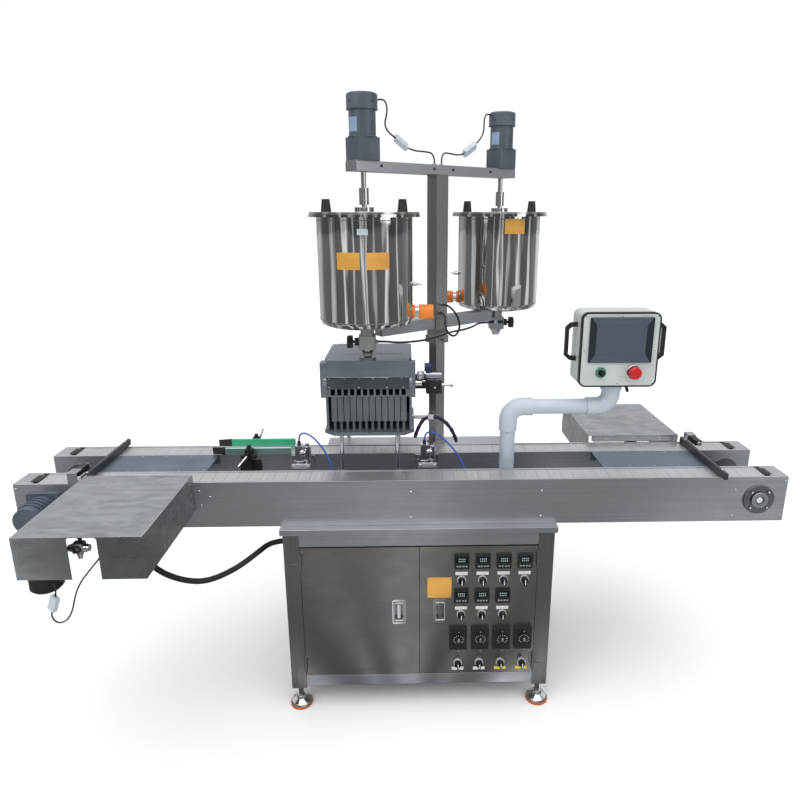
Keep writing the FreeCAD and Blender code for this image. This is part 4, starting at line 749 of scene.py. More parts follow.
# %% Motor finishes
dress("drive_gearmotors", {"cast": gear_paint, "connector": white_pvc},
      lambda c, s: "connector" if s[2] < 120 else "cast")
paint_faces("drive_gearmotors_cast", {"cast": gear_paint, "cap": black_abs},
            lambda x, y, z, normal: "cap" if z < 561 else "cast")
motor_cap = grained("motor_fan_cap", "5A616B", 0.2, 0.45, 1.2, 0.15, "4C525B")
dress("mixer_motors", {"motor": motor_paint, "connector": white_pvc},
      lambda c, s: "motor" if s[2] > 120 else "connector")
paint_faces("mixer_motors_motor", {"motor": motor_paint, "cap": motor_cap},
            lambda x, y, z, normal: "cap" if z > 1938 else "motor")

# %% [markdown]
# # Covers, pushers and cylinders
# The pusher covers were finished by hand with a sanding pad, and the smears stayed. The cylinders
# under them are anodised, with black ports.

# %% Cover and cylinder finishes
dress("pusher_covers", {"sheet": steel_cover}, bevel_mm=1.2)
dress("front_pusher", {"plate": anodised})
dress("rear_pusher", {"plate": anodised})


def cylinder_kind(c, s):
    if abs(c[0]) > 800:
        return "port" if s[0] < 15 or s[1] < 12 and s[0] < 30 else "cylinder"
    if s[1] < 6:
        return "bracket"
    return "valve" if s[0] > 40 else "port"


dress("air_cylinders", {"cylinder": anodised, "port": black_abs, "bracket": chrome, "valve": chrome},
      cylinder_kind)
pale_rail = grained("pale_green_anodised_rail", "A3C4BE", 0.8, 0.32, 1.5, 0.05, "93B6B0")
dress("guide_rails", {"green": green_uhmw, "pale": pale_rail, "clamp": black_abs},
      lambda c, s: ("green" if c[1] > 117 else "pale") if s[0] > 200 else "clamp")
for rail, finish in (("green", green_uhmw), ("pale", pale_rail)):
    paint_faces("guide_rails_" + rail, {"bar": finish, "nose": black_abs},
                lambda x, y, z, normal: "nose" if x < -627.5 else "bar")

# %% [markdown]
# # Cabinet
# The legs are square tube, the table a pressed tray, and the doors are sheet that was ground
# upright and mirrors a dark workshop. The pads under the domed feet are orange rubber.

# %% Cabinet finishes
dress("cabinet_frame", {"leg": steel_upright, "rail": steel_along},
      lambda c, s: "rail" if s[0] > 300 or s[1] > 300 else "leg")
dress("cabinet_panels", {"side": steel_dark, "table": steel_along},
      lambda c, s: "table" if c[2] > 660 else "side", bevel_mm=1.0)
dress("levelling_feet", {"pad": orange_rubber, "dome": chrome, "stem": steel_upright},
      lambda c, s: "pad" if c[2] < 8 else "dome" if c[2] < 40 else "stem")
for door in ("left_door", "right_door"):
    dress(door, {"sheet": steel_dark, "hinge": steel_upright, "pull": chrome},
          lambda c, s: "sheet" if s[0] > 300 else "hinge" if abs(c[0] - 40) > 200 else "pull",
          bevel_mm=0, merge_flats=False)

# %% [markdown]
# # Filling head
# Dark anodised cheeks and cover hold twelve aluminium pump bars. Under them are a chamfered plate
# and four plated posts.

# %% Head finishes
head_paint = grained("dark_anodised_head_cover", "858C93", 0.75, 0.36, 1.6, 0.10, "787F86")
band_paint = grained("blasted_head_band", "4E5459", 0.6, 0.55, 3.0, 0.5, "42474C")
dress("head_stand", {"plate": head_paint, "post": chrome}, lambda c, s: "plate" if s[0] > 100 else "post")
dress("head_casing", {"cover": head_paint, "inlet": chrome},
      lambda c, s: "inlet" if s[0] < 60 and s[2] < 10 else "cover")
paint_faces("head_casing_cover", {"cover": head_paint, "band": band_paint},
            lambda x, y, z, normal: "band" if y < -12.5 else "cover")
pump_grey = grained("grey_anodised_pump_bar", "8D9296", 0.9, 0.36, 1.5, 0.06, "7F8488")
dress("pump_blocks", {"bar": pump_grey, "holder": head_paint, "nozzle": chrome},
      lambda c, s: "holder" if s[0] > 100 else "nozzle" if s[0] < 10 else "bar")
air_line = grained("dark_violet_jointed_nozzle", "26223C", 0.0, 0.42, 0.8, 0.1, "1D1A2E")


def air_unit_kind(c, s):
    """The drive, the jointed lines, and the brackets that hold them."""
    if s[0] > 100:
        return "drive"
    bracket = c[1] > 123.5 and s[2] > 11 and (s[0] > 50 or abs(s[0] - 20) < 0.5)
    return "bracket" if bracket else "line"


dress("head_air_unit", {"drive": black_abs, "bracket": chrome, "line": air_line}, air_unit_kind)


def drive_rule(x, y, z, normal):
    if x > 115:
        return "tip"
    if z > 1141:
        return "blue"
    if z > 1119.5 and x > 65:
        return "silver"
    return "black"


blue_cap = grained("dark_blue_moulded_cap", "1E2A52", 0.0, 0.40, 0.8, 0.08, "182243")
paint_faces("head_air_unit_drive",
            {"black": black_abs, "silver": anodised, "blue": blue_cap, "tip": chrome}, drive_rule)

# %% [markdown]
# # Column, turret and tanks
# The inner column, sleeve, beam and arms are square tube ground along their length. The tanks
# and lids are mirror polished, with black phenolic knobs.

# %% Turret finishes
dress("turret_column", {"tube": steel_column})
dress("turret_frame", {"upright": steel_column, "beam": steel_along},
      lambda c, s: "upright" if s[2] > 300 or s[0] < 90 else "beam")
for side in ("left", "right"):
    dress(side + "_tank", {"shell": mirror_steel}, bevel_mm=0)
    dress(side + "_lid", {"plate": lid_steel, "knob": black_abs},
          lambda c, s: "plate" if s[0] > 100 else "knob")
    dress(side + "_mixer", {"steel": chrome})
    dress(side + "_valve_knob", {"knob": black_abs})
    slim_spindle(bpy.data.objects[side + "_valve_knob_knob"], 0.0056, 0.93)


def heater_rule(x, y, z, normal):
    """Rings along the heater: orange foot, steel coupling, white seal and orange cap."""
    if z > 1400:
        return "steel"
    reach = min(abs(x + 123.3), abs(x - 343.3))
    if reach < 154.2:
        return "orange"
    if reach < 165.8:
        return "steel"
    if reach < 171.5:
        return "white"
    return "orange"


dress("tank_fittings", {"outlet": steel_column, "heater": orange_cap, "boss": black_abs},
      lambda c, s: "heater" if c[2] > 1300 else "outlet" if s[0] > 40 else "boss")
paint_faces("tank_fittings_heater",
            {"orange": orange_cap, "steel": chrome, "white": white_pvc}, heater_rule)
paint_faces("tank_fittings_outlet",
            {"steel": steel_column, "white": white_pvc},
            lambda x, y, z, normal: "white" if x > 300 and z < 1208 else "steel")

# %% [markdown]
# # Operator panel and door instruments
# The panel is a die-cast box in light grey enamel with a rubber gasket behind its front frame.
# The temperature controllers, speed controllers and selector switches are black plastic with
# bright bezels and white legend plates. The plates are left bare.

# %% Panel finishes
dress("panel_post", {"pipe": white_pvc, "clamp": black_abs},
      lambda c, s: "clamp" if s[0] < 40 and s[1] < 20 else "pipe")
screen_black = surface("screen_bezel_glass", "1F252C", 0.0, 0.18)[0]
screen_grey = surface("screen_glass", "4A515C", 0.0, 0.22)[0]


def panel_kind(c, s):
    if s[0] > 240:
        return "gasket" if s[1] < 6 else "box"
    if s[0] > 100:
        return "bezel"
    return "handle" if s[2] > 100 else "ring"


dress("operator_panel", {"box": grey_enamel, "gasket": black_abs, "bezel": screen_black, "ring": chrome,
                         "handle": black_abs}, panel_kind, bevel_mm=0, merge_flats=False)
paint_faces("operator_panel_bezel", {"bezel": screen_black, "glass": screen_grey},
            lambda x, y, z, normal: "glass" if normal.y < -0.9 and abs(x - 679) < 70 and y > -60.2
            else "bezel")
dress("emergency_stop", {"mushroom": red_cap})
dress("panel_selector", {"grip": black_abs})
window_glass = surface("display_window", "0E1512", 0.0, 0.12)[0]
legend_plate = grained("white_legend_plate", "DCDDDA", 0.1, 0.40, 1.0, 0.03, "D2D3D0")


def instrument_kind(c, s):
    if s[1] < 1.5:
        return "legend"
    if s[0] < 35:
        return "collar"
    return "speed" if s[2] > 60 else "controller"


bright_ring = grained("bright_switch_collar", "E2E4E6", 0.6, 0.30, 0.8, 0.03, "D4D7DA")
legend_yellow = grained("yellow_legend_plate", "D9C83A", 0.0, 0.42, 1.0, 0.03, "CDBB2E")
dress("panel_instruments", {"legend": legend_plate, "collar": bright_ring, "speed": black_abs,
                            "controller": black_abs}, instrument_kind, bevel_mm=0.4)
paint_faces("panel_instruments_legend", {"pale": legend_plate, "yellow": legend_yellow},
            lambda x, y, z, normal: "yellow" if z < 160 and x > 280 else "pale")
paint_faces("panel_instruments_controller", {"case": black_abs, "window": window_glass},
            lambda x, y, z, normal: "window" if normal.y < -0.9 and y > -191.6 and y < -184 else "case")
for number in range(1, 12):
    dress("selector_%02d" % number, {"grip": black_abs}, bevel_mm=0.4)

# %% [markdown]
# # Fasteners
# Screws are where sheet-metal work looks real. Their places follow the machine: at the ends of
# the channels, round the bearing discs, along the covers' flanges and in the band of the head.

# %% Screws on the conveyors and covers
CHANNEL_SIDE = 162.5
channel_places = [(1054, 790), (1053, 700), (1212, 818), (1208, 702), (-649, 805), (-617, 784), (-648, 756),
                  (14, 794), (13, 706), (-1212, 818), (-1208, 702), (430, 794), (430, 706)]
channel_screws = [(x, side * CHANNEL_SIDE, z, "+y" if side > 0 else "-y")
                  for x, z in channel_places for side in (-1, 1) if not (side > 0 and -300 < x < 380)]
screws("channel_screws", "base", "stainless", channel_screws, 3.4, 2.2)
disc_places = []
for x, y, side in ((-1131, 172.5, "+y"), (1131, -172.5, "-y")):
    for k in range(4):
        angle = math.radians(45 + 90 * k)
        disc_places.append((x + 38 * math.cos(angle), y, 757 + 38 * math.sin(angle), side))
screws("bearing_cover_screws", "base", "stainless", disc_places, 3.6, 2.4)
flange_places = []
for turn in (-1, 1):
    inward, outward = ("-x", "+x") if turn > 0 else ("+x", "-x")
    for z in (838, 800, 762):
        flange_places.append((turn * 665, turn * 190, z, inward))
        flange_places.append((turn * 995 - math.copysign(1.6, turn), turn * 190, z, outward))
screws("cover_flange_screws", "base", "stainless", flange_places, 2.6, 1.4)
screws("transfer_plate_screws", "base", "stainless",
       [(side * x, y, 833.5, "+z") for side in (-1, 1) for x in (662, 744, 826, 908, 990)
        for y in (-62, 62)], 2.8, 0.8)
screws("stop_bar_screws", "base", "stainless",
       [(side * 1006, y + side * -14, 856, "+z") for side in (-1, 1) for y in (-140, 140)], 4.0, 2.4)

# %% [markdown]
# The bearing discs carry a raised ring round the shaft end. In each end window of the channels a
# dark plate is painted shadow of the gap by the sprocket, and the slats show beside it.

# %% Bearing rings and end window shadows
discs = Build("bearing_rings")
discs.collar((1131, -172.5, 757), (0, -1, 0), 15, 27, 2.4, anodised)
discs.collar((-1131, 172.5, 757), (0, 1, 0), 15, 27, 2.4, anodised)
discs.done(*home("bearing_covers"))
# A dark finish of painted shadow, for gaps and hollows that lie in shade.
painted_shadow_finish = surface("painted_shadow_plate", "2A2928", 0.4, 0.5)[0]
# Dark plates in the channels' end windows: painted shadow of the gap by the sprocket.
window = Build("channel_end_window_shadows")
for end in (-1, 1):
    for lane in (-1, 1):
        x0, x1 = sorted((end * 1152, end * 1177))
        window.plate((x0, lane * 118 - 27, 833.6), (x1, lane * 118 + 27, 834.3), painted_shadow_finish, 0.2)
window.done("base", "stainless")

# %% [markdown]
# # Filling head
# The cover has a long bright slot in its top with a painted shadow line inside it, a fold above
# the screw band drawn in chrome as a painted highlight, and hinge pins at the ears. Round dark
# discs of painted shadow stand for the bores under each pump bar.

# %% Head details
band_y = -14.0
band_screws = [(x, band_y, 1127, "-y") for x in (-249, -199, -153, -106, -62, -14)]
band_screws += [(x, band_y, 1096, "-y") for x in (-249, -153, -62, -8)]
screws("head_band_screws", *home("head_casing"), band_screws, 2.5, 1.6)
screws("head_cover_screws", *home("head_casing"),
       [(x, y, 1186, "+z") for x in (-248, 2) for y in (6, 126, 246)], 2.6, 1.4)
trim = Build("head_trim")
# The fold above the band in chrome: a painted highlight of its bright line.
trim.plate((-257.5, band_y - 5.0, 1131.0), (11.5, band_y + 4, 1133.4), chrome, 0.5)
trim.plate((-236, 86, 1185.8), (-10, 92, 1186.5), anodised, 0.2)
# Dark line inside the slot: painted shadow.
trim.plate((-236, 87.6, 1186.3), (-10, 90.4, 1186.7), painted_shadow_finish, 0.1)
for x in (-262, 16):
    trim.turned((x, -12.2, 1122), (0, -1, 0), [(5.5, 0), (5.5, 3.0), (4.4, 4.2), (2.0, 4.4)], chrome)
    trim.plate((x - 7, -13.4, 1098), (x + 7, -11.9, 1116), anodised, 0.6)
trim.done(*home("head_casing"))
pump_x = [-123 + 21 * (i - 5.5) for i in range(12)]
# Dark discs of painted shadow where the bores under the pump bars lie.
bore_shadows = Build("pump_bore_shadows")
for x in pump_x:
    bore_shadows.turned((x, 26.6, 983), (0, -1, 0), [(5.6, 0), (5.6, 1.0), (4.6, 1.4)], painted_shadow_finish, 20)
bore_shadows.done(*home("pump_blocks"))
screws("pump_bar_screws", *home("pump_blocks"),
       [(x, 14.0, 1052, "-y") for x in pump_x], 2.0, 1.0)
screws("head_plate_screws", *home("head_stand"),
       [(x, y, 942, "+z") for x in (-265, 18) for y in (40, 124, 208)], 3.0, 2.0)

# %% [markdown]
# # Tanks and lids
# Small button-head screws hold the rim, and bare plates stand where the makers put their signs.

# %% Tank details
tank_centres = {"left": (-123.3, 15.3), "right": (343.3, 379.7)}
plate_amber = grained("amber_enamelled_plate", "D9A14A", 0.1, 0.42, 1.2, 0.04, "C98F38")
plate_pale = grained("pale_enamelled_plate", "C9D2D6", 0.2, 0.40, 1.2, 0.04, "BAC4C9")
plate_blue = grained("blue_grey_enamelled_plate", "8CA6BE", 0.2, 0.40, 1.2, 0.04, "7C96B0")
plate_angles = {"left": [(-30.7, -2.9, 1484, 1533, plate_amber), (4.4, 31.6, 1484, 1533, plate_amber),
                         (-5.2, 7.0, 1583, 1600, plate_pale)],
                "right": [(0.0, 28.8, 1574, 1624, plate_amber)]}
for side, centre in tank_centres.items():
    rim = []
    for k in range(12):
        angle = 2 * math.pi * (k + 0.5) / 12
        rim.append((centre[0] + 158 * math.cos(angle), centre[1] + 158 * math.sin(angle), 1640.0, "+z"))
    screws(side + "_rim_screws", "turret", "stainless", rim, 3.2, 2.0)
    plates = Build(side + "_tank_plates")
    for start, end, low, high, finish in plate_angles[side]:
        plates.wrapped(centre, 147.0, start, end, low, high, 0.8, finish)
    plates.done(*home(side + "_tank"))
    seams = Build(side + "_tank_seams")
    for z in (1322, 1622):
        seams.collar((centre[0], centre[1], z), (0, 0, 1), 146.5, 147.7, 2.4, steel_upright, 96)
    seams.done(*home(side + "_tank"))
print("tank plates and seams made")

# %% [markdown]
# # Mixer motors and gearmotors
# The fan cap sits on a rounded rim, and screws close the cap and the gearbox. A bare plate stands
# where the rating plate would be.

# %% Motor details
beam_along = Vector((tank_centres["right"][0] - tank_centres["left"][0],
                     tank_centres["right"][1] - tank_centres["left"][1], 0)).normalized()
beam_out = Vector((beam_along.y, -beam_along.x, 0))
reach_share = abs(beam_along.x) + abs(beam_along.y)
gearbox_half = (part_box("mixer_motors")[1][0] / MM - tank_centres["right"][0]) / reach_share
print("half width of a gearbox", round(gearbox_half, 1))
for side, centre in tank_centres.items():
    spots = []
    for k in range(4):
        angle = math.radians(45 + 90 * k)
        out = Vector((math.cos(angle), math.sin(angle), 0))
        spots.append(((centre[0] + 45.8 * out.x, centre[1] + 45.8 * out.y, 1956), out, Vector((0, 0, 1))))
    set_screws(side + "_cap_screws", *home("mixer_motors"), spots, 2.8, 1.2, dark_anodised)
    middle = Vector((centre[0], centre[1], 0))
    corners = []
    for reach in (-30, 30):
        for z in (1803, 1851):
            for turn in (-1, 1):
                place = middle + beam_along * reach + beam_out * (turn * gearbox_half) + Vector((0, 0, z))
                corners.append((place, beam_out * turn, beam_along))
    set_screws(side + "_gearbox_screws", *home("mixer_motors"), corners, 3.2, 1.4, dark_anodised)
    place = middle - beam_along * 18 + beam_out * gearbox_half + Vector((0, 0, 1816))
    spots = [(place, beam_out, beam_along)]
    set_blocks(side + "_gearbox_plate", *home("mixer_motors"), spots, (26, 20, 0.6), plate_blue)
    rating = Build(side + "_motor_plate")
    rating.wrapped(centre, 40.0, -66, -20, 1874, 1914, 0.7, plate_blue)
    rating.collar((centre[0], centre[1], 1936), (0, 0, 1), 39.5, 47.2, 3.0, motor_cap, 48)
    rating.collar((centre[0], centre[1], 1860), (0, 0, 1), 39.5, 43.5, 4.0, motor_paint, 48)
    rating.done(*home("mixer_motors"))

# %% [markdown]
# # Operator panel
# A black rubber gasket stands proud between the box and its front frame, and shows as a thick
# line with rounded corners. It is swept round the frame as one closed loop. The selector has a
# green ring and the stop button a bright collar.

# %% Operator panel details
def rounded_loop(half_width, half_height, corner, steps=8):
    """Points of a rounded rectangle about its middle, in mm."""
    points = []
    for sx, sz, turn in ((1, 1, 0), (-1, 1, 90), (-1, -1, 180), (1, -1, 270)):
        for i in range(steps + 1):
            angle = math.radians(turn + 90 * i / steps)
            points.append((sx * (half_width - corner) + corner * math.cos(angle),
                           sz * (half_height - corner) + corner * math.sin(angle)))
    return points


def framed(name, centre, half, corner, width, near, far, finish, body, slot):
    """A rounded frame of one width between two depths."""
    outer = rounded_loop(half[0], half[1], corner)
    inner = rounded_loop(half[0] - width, half[1] - width, max(corner - width, 1.0))
    frame_mesh = bmesh.new()
    loops = []
    for loop, y in ((outer, far), (outer, near), (inner, near), (inner, far)):
        places = [Vector((centre[0] + x, y, centre[1] + z)) * MM for x, z in loop]
        loops.append([frame_mesh.verts.new(place) for place in places])
    count = len(outer)
    for a, b in zip(loops, loops[1:] + loops[:1]):
        for i in range(count):
            j = (i + 1) % count
            frame_mesh.faces.new((a[i], a[j], b[j], b[i]))
    bmesh.ops.recalc_face_normals(frame_mesh, faces=frame_mesh.faces)
    mesh = bpy.data.meshes.new(name)
    frame_mesh.to_mesh(mesh)
    frame_mesh.free()
    mesh.materials.append(finish)
    return new_piece(name, mesh, body)


panel_centre = (678, 1225)
framed("panel_gasket_lip", panel_centre, (125.6, 120.6), 22.5, 5.0, -55.6, -40.0, black_abs, 
       *home("operator_panel"))
screws("panel_frame_screws", "operator_panel", "stainless",
       [(x, -54.2, z, "-y") for x in (564, 792) for z in (1116, 1225, 1334)]
       + [(678, -54.2, z, "-y") for z in (1116, 1334)], 2.6, 1.4)
controls = Build("panel_control_rings")
green_ring = grained("green_moulded_ring", "2F7F63", 0.0, 0.35, 0.8, 0.05, "28705A")
controls.collar((622, -57.4, 1153), (0, -1, 0), 12.5, 17.0, 3.2, green_ring)
controls.collar((728, -57.4, 1154), (0, -1, 0), 15.0, 22.5, 3.0, chrome)
controls.done(*home("operator_panel"))
grip = Build("panel_selector_pointer")
grip.plate((620.6, -78.2, 1146), (623.4, -77.4, 1161), legend_plate, 0.2)
grip.done(*home("panel_selector"))

# %% [markdown]
# # Instruments on the right door
# Each controller has two rows of plain blocks behind a dark window and four small keys. Each speed
# controller has a fluted dial with a pale scale ring. The selectors have a pale pointer.

# %% Door instruments
CONTROLLER_FACE = -192.4
SPEED_FACE = -209.4
controllers = [(x, 559) for x in (177, 246, 314, 382)] + [(x, 432) for x in (177, 246, 314)]
speed_units = [(x, 273) for x in (169, 241, 314, 386)]
digit_glow = surface("display_segments", "8FA0A6", 0.0, 0.3)[0]
blocks("controller_windows", *home("panel_instruments"),
       [(x, CONTROLLER_FACE, z + 8, "-y") for x, z in controllers], (36, 20, 0.5), window_glass)
blocks("controller_digits", *home("panel_instruments"),
       [(x + d, -192.8, z + r, "-y") for x, z in controllers for d in (-9, -3, 3, 9) for r in (4, 12)],
       (3.4, 4.6, 0.3), digit_glow)
key_grey = grained("grey_rubber_key", "8E9294", 0.0, 0.5, 0.8, 0.06, "7F8385")
blocks("controller_keys", *home("panel_instruments"),
       [(x + d, CONTROLLER_FACE, z - 14, "-y") for x, z in controllers for d in (-14, -5, 5, 14)],
       (6, 4.6, 1.2), key_grey)
dials = Build("speed_dials")
for x, z in speed_units:
    dials.turned((x, -209.3, z + 8), (0, -1, 0), [(10.5, 0), (10.0, 6.5), (8.6, 8.0)], black_abs,
                 48, 12, 0.10)
    dials.turned((x, -217.2, z + 8), (0, -1, 0), [(5.6, 0), (5.2, 0.8)], anodised, 24)
    dials.plate((x - 0.8, -217.8, z + 13), (x + 0.8, -217.1, z + 17), legend_plate, 0.1)
dials.done(*home("panel_instruments"))
scale_spots = []
for x, z in speed_units:
    for k in range(11):
        angle = math.radians(-135 + 27 * k)
        out = Vector((math.sin(angle), 0, math.cos(angle)))
        scale_spots.append(((x + 15.5 * out.x, SPEED_FACE, z + 8 + 15.5 * out.z), Vector((0, -1, 0)), out))
set_blocks("speed_scale", *home("panel_instruments"), scale_spots, (4.0, 1.1, 0.4), legend_plate)
screws("speed_unit_screws", *home("panel_instruments"),
       [(x, SPEED_FACE, z + d, "-y") for x, z in speed_units for d in (-36, 36)], 2.4, 1.2)
for number in range(1, 12):
    name = "selector_%02d" % number
    low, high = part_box(name)
    x, z = (low[0] + high[0]) / 2 / MM, (low[2] + high[2]) / 2 / MM
    pointer = Build(name + "_pointer")
    front = low[1] / MM
    pointer.plate((x - 1.4, front - 0.1, z - 8), (x + 1.4, front + 1.2, z + 9), legend_plate, 0.3)
    pointer.done(*home(name))

# %% [markdown]
# # Lanes, covers and cylinders
# Polished strips along the covers' folded top edges are a painted highlight, the bright line those
# edges catch. Under each notch sits the elbow of the air line, and the pusher closes the cover's
# mouth with a dark wiper. Rods with cross handles lock the guide rails, and each product stopper
# carries a small slotted bar.

# %% Details along the lanes
# Polished strips on the covers' top and end edges: a painted highlight of the bright edge line.
edges = Build("cover_edge_highlights")
for turn in (-1, 1):
    x0, x1 = sorted((turn * 665.2, turn * 994.8))
    y0, y1 = sorted((turn * 549.0, turn * 550.4))
    edges.plate((x0, y0, 858.6), (x1, y1, 860.3), chrome, 0.3)
    for x in (666, 994):
        y0, y1 = sorted((turn * 192, turn * 550.2))
        edges.plate((turn * x - 0.8, y0, 858.8), (turn * x + 0.8, y1, 860.3), chrome, 0.3)
edges.done(*home("pusher_covers"))
for turn, name in ((-1, "front_pusher"), (1, "rear_pusher")):
    wiper = Build(name + "_wiper")
    y0, y1 = sorted((turn * 165.2, turn * 170.0))
    wiper.plate((turn * 830 - 146, y0, 834.8), (turn * 830 + 146, y1, 837.0), black_abs, 0.2)
    wiper.done(*home(name))
    screws(name + "_screws", *home(name),
           [(turn * 830 + d, turn * 164.8, 848, "-y" if turn > 0 else "+y")
            for d in (-100, 0, 100)], 3.2, 1.0)
elbows = Build("cylinder_elbows")
for turn in (-1, 1):
    x = turn * 842
    y0, y1 = sorted((turn * 508, turn * 532))
    elbows.plate((x - 14, y0, 802), (x + 14, y1, 830), anodised, 2.5)
    elbows.turned((x - 27, turn * 520, 814), (1, 0, 0),
                  [(9, 0), (9, 6), (11, 7), (11, 47), (9, 48), (9, 54)], chrome)
    elbows.turned((x, turn * 520, 802), (0, 0, -1), [(8, 0), (8, 8), (6, 9), (6, 17), (4.5, 18)], chrome)
    elbows.collar((x, turn * 532, 816), (0, turn, 0), 6, 11, 4, black_abs)
elbows.done(*home("air_cylinders"))
locks = Build("guide_lock_handles")
for low, high in (((-548, 48, 838), (-574, 18, 810)), ((-533, 190, 856), (-523, 200, 886))):
    axis = Vector(high) - Vector(low)
    locks.turned(low, axis.normalized(),
                 [(2.6, 0), (3.4, 1), (3.4, axis.length - 1), (2.6, axis.length)], chrome, 20)
locks.plate((-570, 44, 829), (-516, 56, 843), black_abs, 2.0)
locks.done(*home("guide_rails"))
bars = Build("stopper_bars")
for x in (-362, 72):
    bars.plate((x - 32, 24, 799), (x + 32, 30, 815), bright_ring, 1.5)
    for d in (-12, 12):
        bars.plate((x + d - 4, 29, 803), (x + d + 4, 46, 811), chrome, 0.8)
    bars.turned((x + 6, 41, 850), (0, -1, 0), [(11, 0), (11, 7), (8, 9), (8, 14), (4, 15)], chrome, 28)
bars.done(*home("air_cylinders"))
screws("stopper_bar_screws", *home("air_cylinders"),
       [(x + d, 24, 807, "-y") for x in (-362, 72) for d in (-24, 24)], 3.6, 2.0)

# %% [markdown]
# # Air unit and valve
# A round drive with a domed face sits in front of the air unit's block, with a spring clamp on
# each side. The right-hand valve has a blue lever along the front of its block.

# %% Air unit and valve lever
drive = Build("air_drive_face")
drive.turned((94, -13.0, 1098), (0, -1, 0), [(23, 0), (23, 8), (21, 11), (12, 12), (6, 12.4)],
             black_abs, 48)
drive.turned((94, -25.2, 1098), (0, -1, 0), [(3.4, 0), (3.0, 1.0)], chrome, 20)
drive.plate((36, -12, 1122), (60, 6, 1146), chrome, 2.0)
drive.turned((48, -11, 1138), (0, -1, 0), [(7, 0), (7, 6), (4, 8)], chrome, 28)
drive.turned((30, -2, 1108), (1, 0, 0), [(8, 0), (10, 2), (10, 22), (7, 24)], chrome, 28)
drive.done(*home("head_air_unit"))
lever = Build("right_valve_lever")
lever.plate((312, 347.6, 1243), (366, 351.6, 1254), blue_cap, 1.2)
lever.turned((339, 352.0, 1248.5), (0, -1, 0), [(7, 0), (7, 4.6), (4, 5.4)], chrome, 28)
lever.done(*home("tank_fittings"))
spots = []
for reach in (-250, -40, 40, 215):
    for turn in (-1, 1):
        place = Vector((110, 197.5, 1781)) + beam_along * reach + beam_out * (30.0 * turn)
        spots.append((place, beam_out * turn, beam_along))
set_screws("beam_bolts", "turret", "stainless", spots, 4.6, 3.0, dark_anodised)

# %% [markdown]
# # Doors
# Each recessed pull has a bright rim and a frame of plates. The bare plate on the right door is
# held by four screws.

# %% Door details
for door, x in (("left_door", -28.0), ("right_door", 108.0)):
    framed(door + "_pull_rim", (x, 374), (22, 45), 5.0, 5.5, -185.2, -183.4, chrome, *home(door))
    fill = Build(door + "_pull_plate")
    for low, high in ((330.5, 344.0), (404.0, 417.5)):
        fill.plate((x - 17, -184.3, low), (x + 17, -183.3, high), bright_ring, 0.3)
    for turn in (-1, 1):
        edge = x + turn * 15.2
        fill.plate((edge - 1.8, -184.3, 343.8), (edge + 1.8, -183.3, 404.2), bright_ring, 0.3)
    fill.done(*home(door))
sign = Build("door_plate")
sign.plate((66, -184.4, 425), (145, -183.4, 500), plate_amber, 0.4)
sign.done(*home("right_door"))
screws("door_plate_screws", "right_door", "stainless",
       [(x, -184.4, z, "-y") for x in (71, 140) for z in (430, 495)], 2.2, 1.0)

# %% [markdown]
# # A white studio
# The machine was cut out on white. A pale floor and a white surround give the same plain setting.
# Steel shows what stands round it, so what it sees is not plain white: the surround that it
# reflects is grey, with tall bright strips like the windows and lamps of a workshop. The strips
# are laid by compass angle and fade into a bright ceiling. Only reflections see the card that lies
# just under the floor, and they don't see the floor.

# %% Studio
def strip_colours(tree, x, y):
    """Grey with bright strips, by the compass angle of (x, y)."""
    compass = add_node(tree, "ShaderNodeMath", {0: x, 1: y}, operation="ARCTAN2")
    share = add_node(tree, "ShaderNodeMapRange", {"Value": compass.outputs["Value"], "From Min": -math.pi,
                                                  "From Max": math.pi})
    strips = add_node(tree, "ShaderNodeValToRGB", {"Fac": share.outputs["Result"]})
    stops = [(0.0, 0.1), (0.012, 0.9), (0.022, 0.12), (0.05, 0.08), (0.062, 0.7), (0.072, 0.1),
             (0.12, 0.07), (0.135, 1.0), (0.15, 0.1), (0.2, 0.07), (0.235, 0.6), (0.25, 0.1), (0.31, 0.12),
             (0.38, 0.5), (0.45, 0.3), (0.55, 0.35), (0.62, 0.75), (0.67, 0.2), (0.74, 0.1), (0.755, 0.9),
             (0.77, 0.1), (0.83, 0.07), (0.86, 1.0), (0.875, 0.1), (0.92, 0.08), (0.935, 0.5),
             (0.945, 0.09), (0.975, 0.08), (0.985, 0.8), (1.0, 0.1)]
    ramp = strips.color_ramp
    ramp.elements[0].position = stops[0][0]
    ramp.elements[1].position = stops[-1][0]
    for position, _ in stops[1:-1]:
        ramp.elements.new(position)
    for element, (_, level) in zip(ramp.elements, stops):
        element.color = (level * 0.97, level, level * 1.03, 1.0)
    return strips.outputs["Color"]


def studio_plane(name, half_x, near_y, far_y, z, material):
    """A level sheet that belongs to the studio, not to the machine."""
    mesh = bpy.data.meshes.new(name)
    corners = [(-half_x, near_y, z), (half_x, near_y, z), (half_x, far_y, z), (-half_x, far_y, z)]
    mesh.from_pydata(corners, [], [(0, 1, 2, 3)])
    mesh.materials.append(material)
    plane = linked(name, mesh)
    return plane


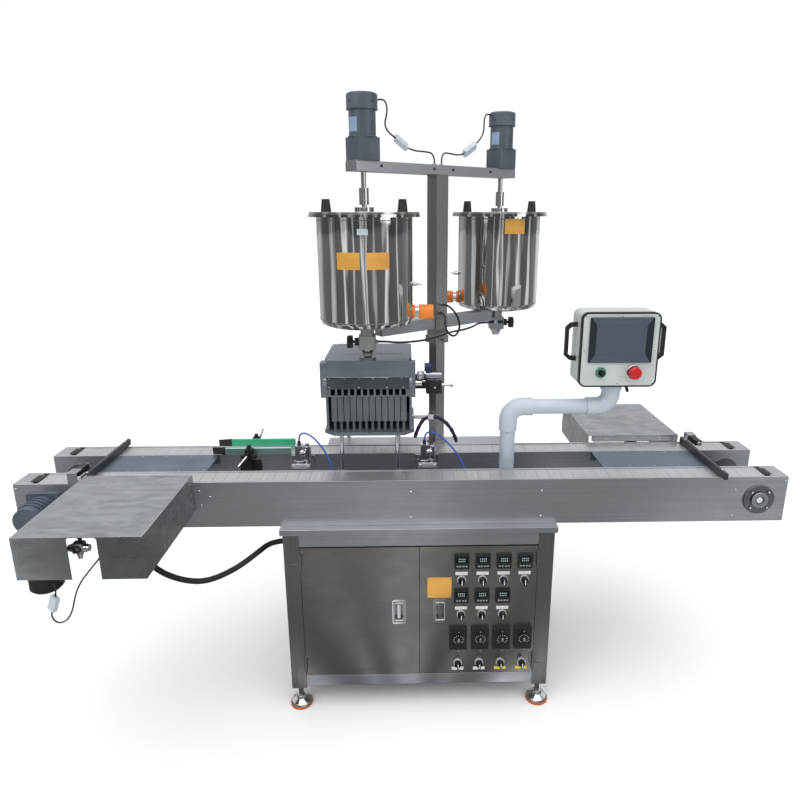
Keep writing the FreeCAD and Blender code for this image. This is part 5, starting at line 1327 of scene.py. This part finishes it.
floor_paint = surface("studio_floor_paint", "F4F4F3", 0.0, 0.9)[0]
floor = studio_plane("studio_floor", 16.0, -9.0, 24.0, 0.0, floor_paint)
floor.visible_glossy = False
card_paint, card_tree, card_shader = surface("workshop_floor_card", "000000", 0.0, 1.0)
card_place = add_node(card_tree, "ShaderNodeTexCoord")
card_parts = add_node(card_tree, "ShaderNodeSeparateXYZ", {"Vector": card_place.outputs["Object"]})
card_tree.links.new(strip_colours(card_tree, card_parts.outputs["X"], card_parts.outputs["Y"]),
                    card_shader.inputs["Emission Color"])
card_shader.inputs["Emission Strength"].default_value = 1.25
card = studio_plane("reflected_floor", 40.0, -40.0, 40.0, -0.002, card_paint)
card.visible_camera = False
card.visible_diffuse = False
card.visible_shadow = False
card.visible_transmission = False

world = bpy.data.worlds.new("studio_surround")
bpy.context.scene.world = world
world.use_nodes = True
surround = world.node_tree
way = add_node(surround, "ShaderNodeTexCoord")
parts = add_node(surround, "ShaderNodeSeparateXYZ", {"Vector": way.outputs["Generated"]})
height_share = add_node(surround, "ShaderNodeMapRange", {"Value": parts.outputs["Z"], "From Min": 0.13,
                                                         "From Max": 0.30})
seen = add_node(surround, "ShaderNodeMix", {"Factor": height_share.outputs["Result"]}, data_type="RGBA")
surround.links.new(strip_colours(surround, parts.outputs["X"], parts.outputs["Y"]), seen.inputs[6])
seen.inputs[7].default_value = paint("F4F6FA")
eye = add_node(surround, "ShaderNodeLightPath")
shown = add_node(surround, "ShaderNodeMix", {"Factor": eye.outputs["Is Camera Ray"]}, data_type="RGBA")
surround.links.new(seen.outputs[2], shown.inputs[6])
shown.inputs[7].default_value = (1.12, 1.12, 1.12, 1.0)
surround.links.new(shown.outputs[2], surround.nodes["Background"].inputs["Color"])
surround.nodes["Background"].inputs["Strength"].default_value = 0.9
bpy.context.scene.view_settings.view_transform = "Standard"


def soft_light(name, kind, place, target, size, strength):
    """A square lamp or a wide sun aimed at a point."""
    data = bpy.data.lights.new(name, kind)
    if kind == "SUN":
        data.angle = math.radians(size)
    else:
        data.size = size
    data.energy = strength
    lamp = linked(name, data)
    lamp.location = place
    lamp.rotation_euler = (Vector(target) - Vector(place)).to_track_quat("-Z", "Y").to_euler()


soft_light("sky", "SUN", (-0.6, -0.9, 4.0), (0, 0, 0), 70, 1.7)
soft_light("key_left", "AREA", (-2.8, -3.0, 3.4), (0, 0, 0.9), 2.2, 26)
soft_light("fill_right", "AREA", (3.2, -2.4, 2.4), (0, 0, 0.9), 1.8, 16)
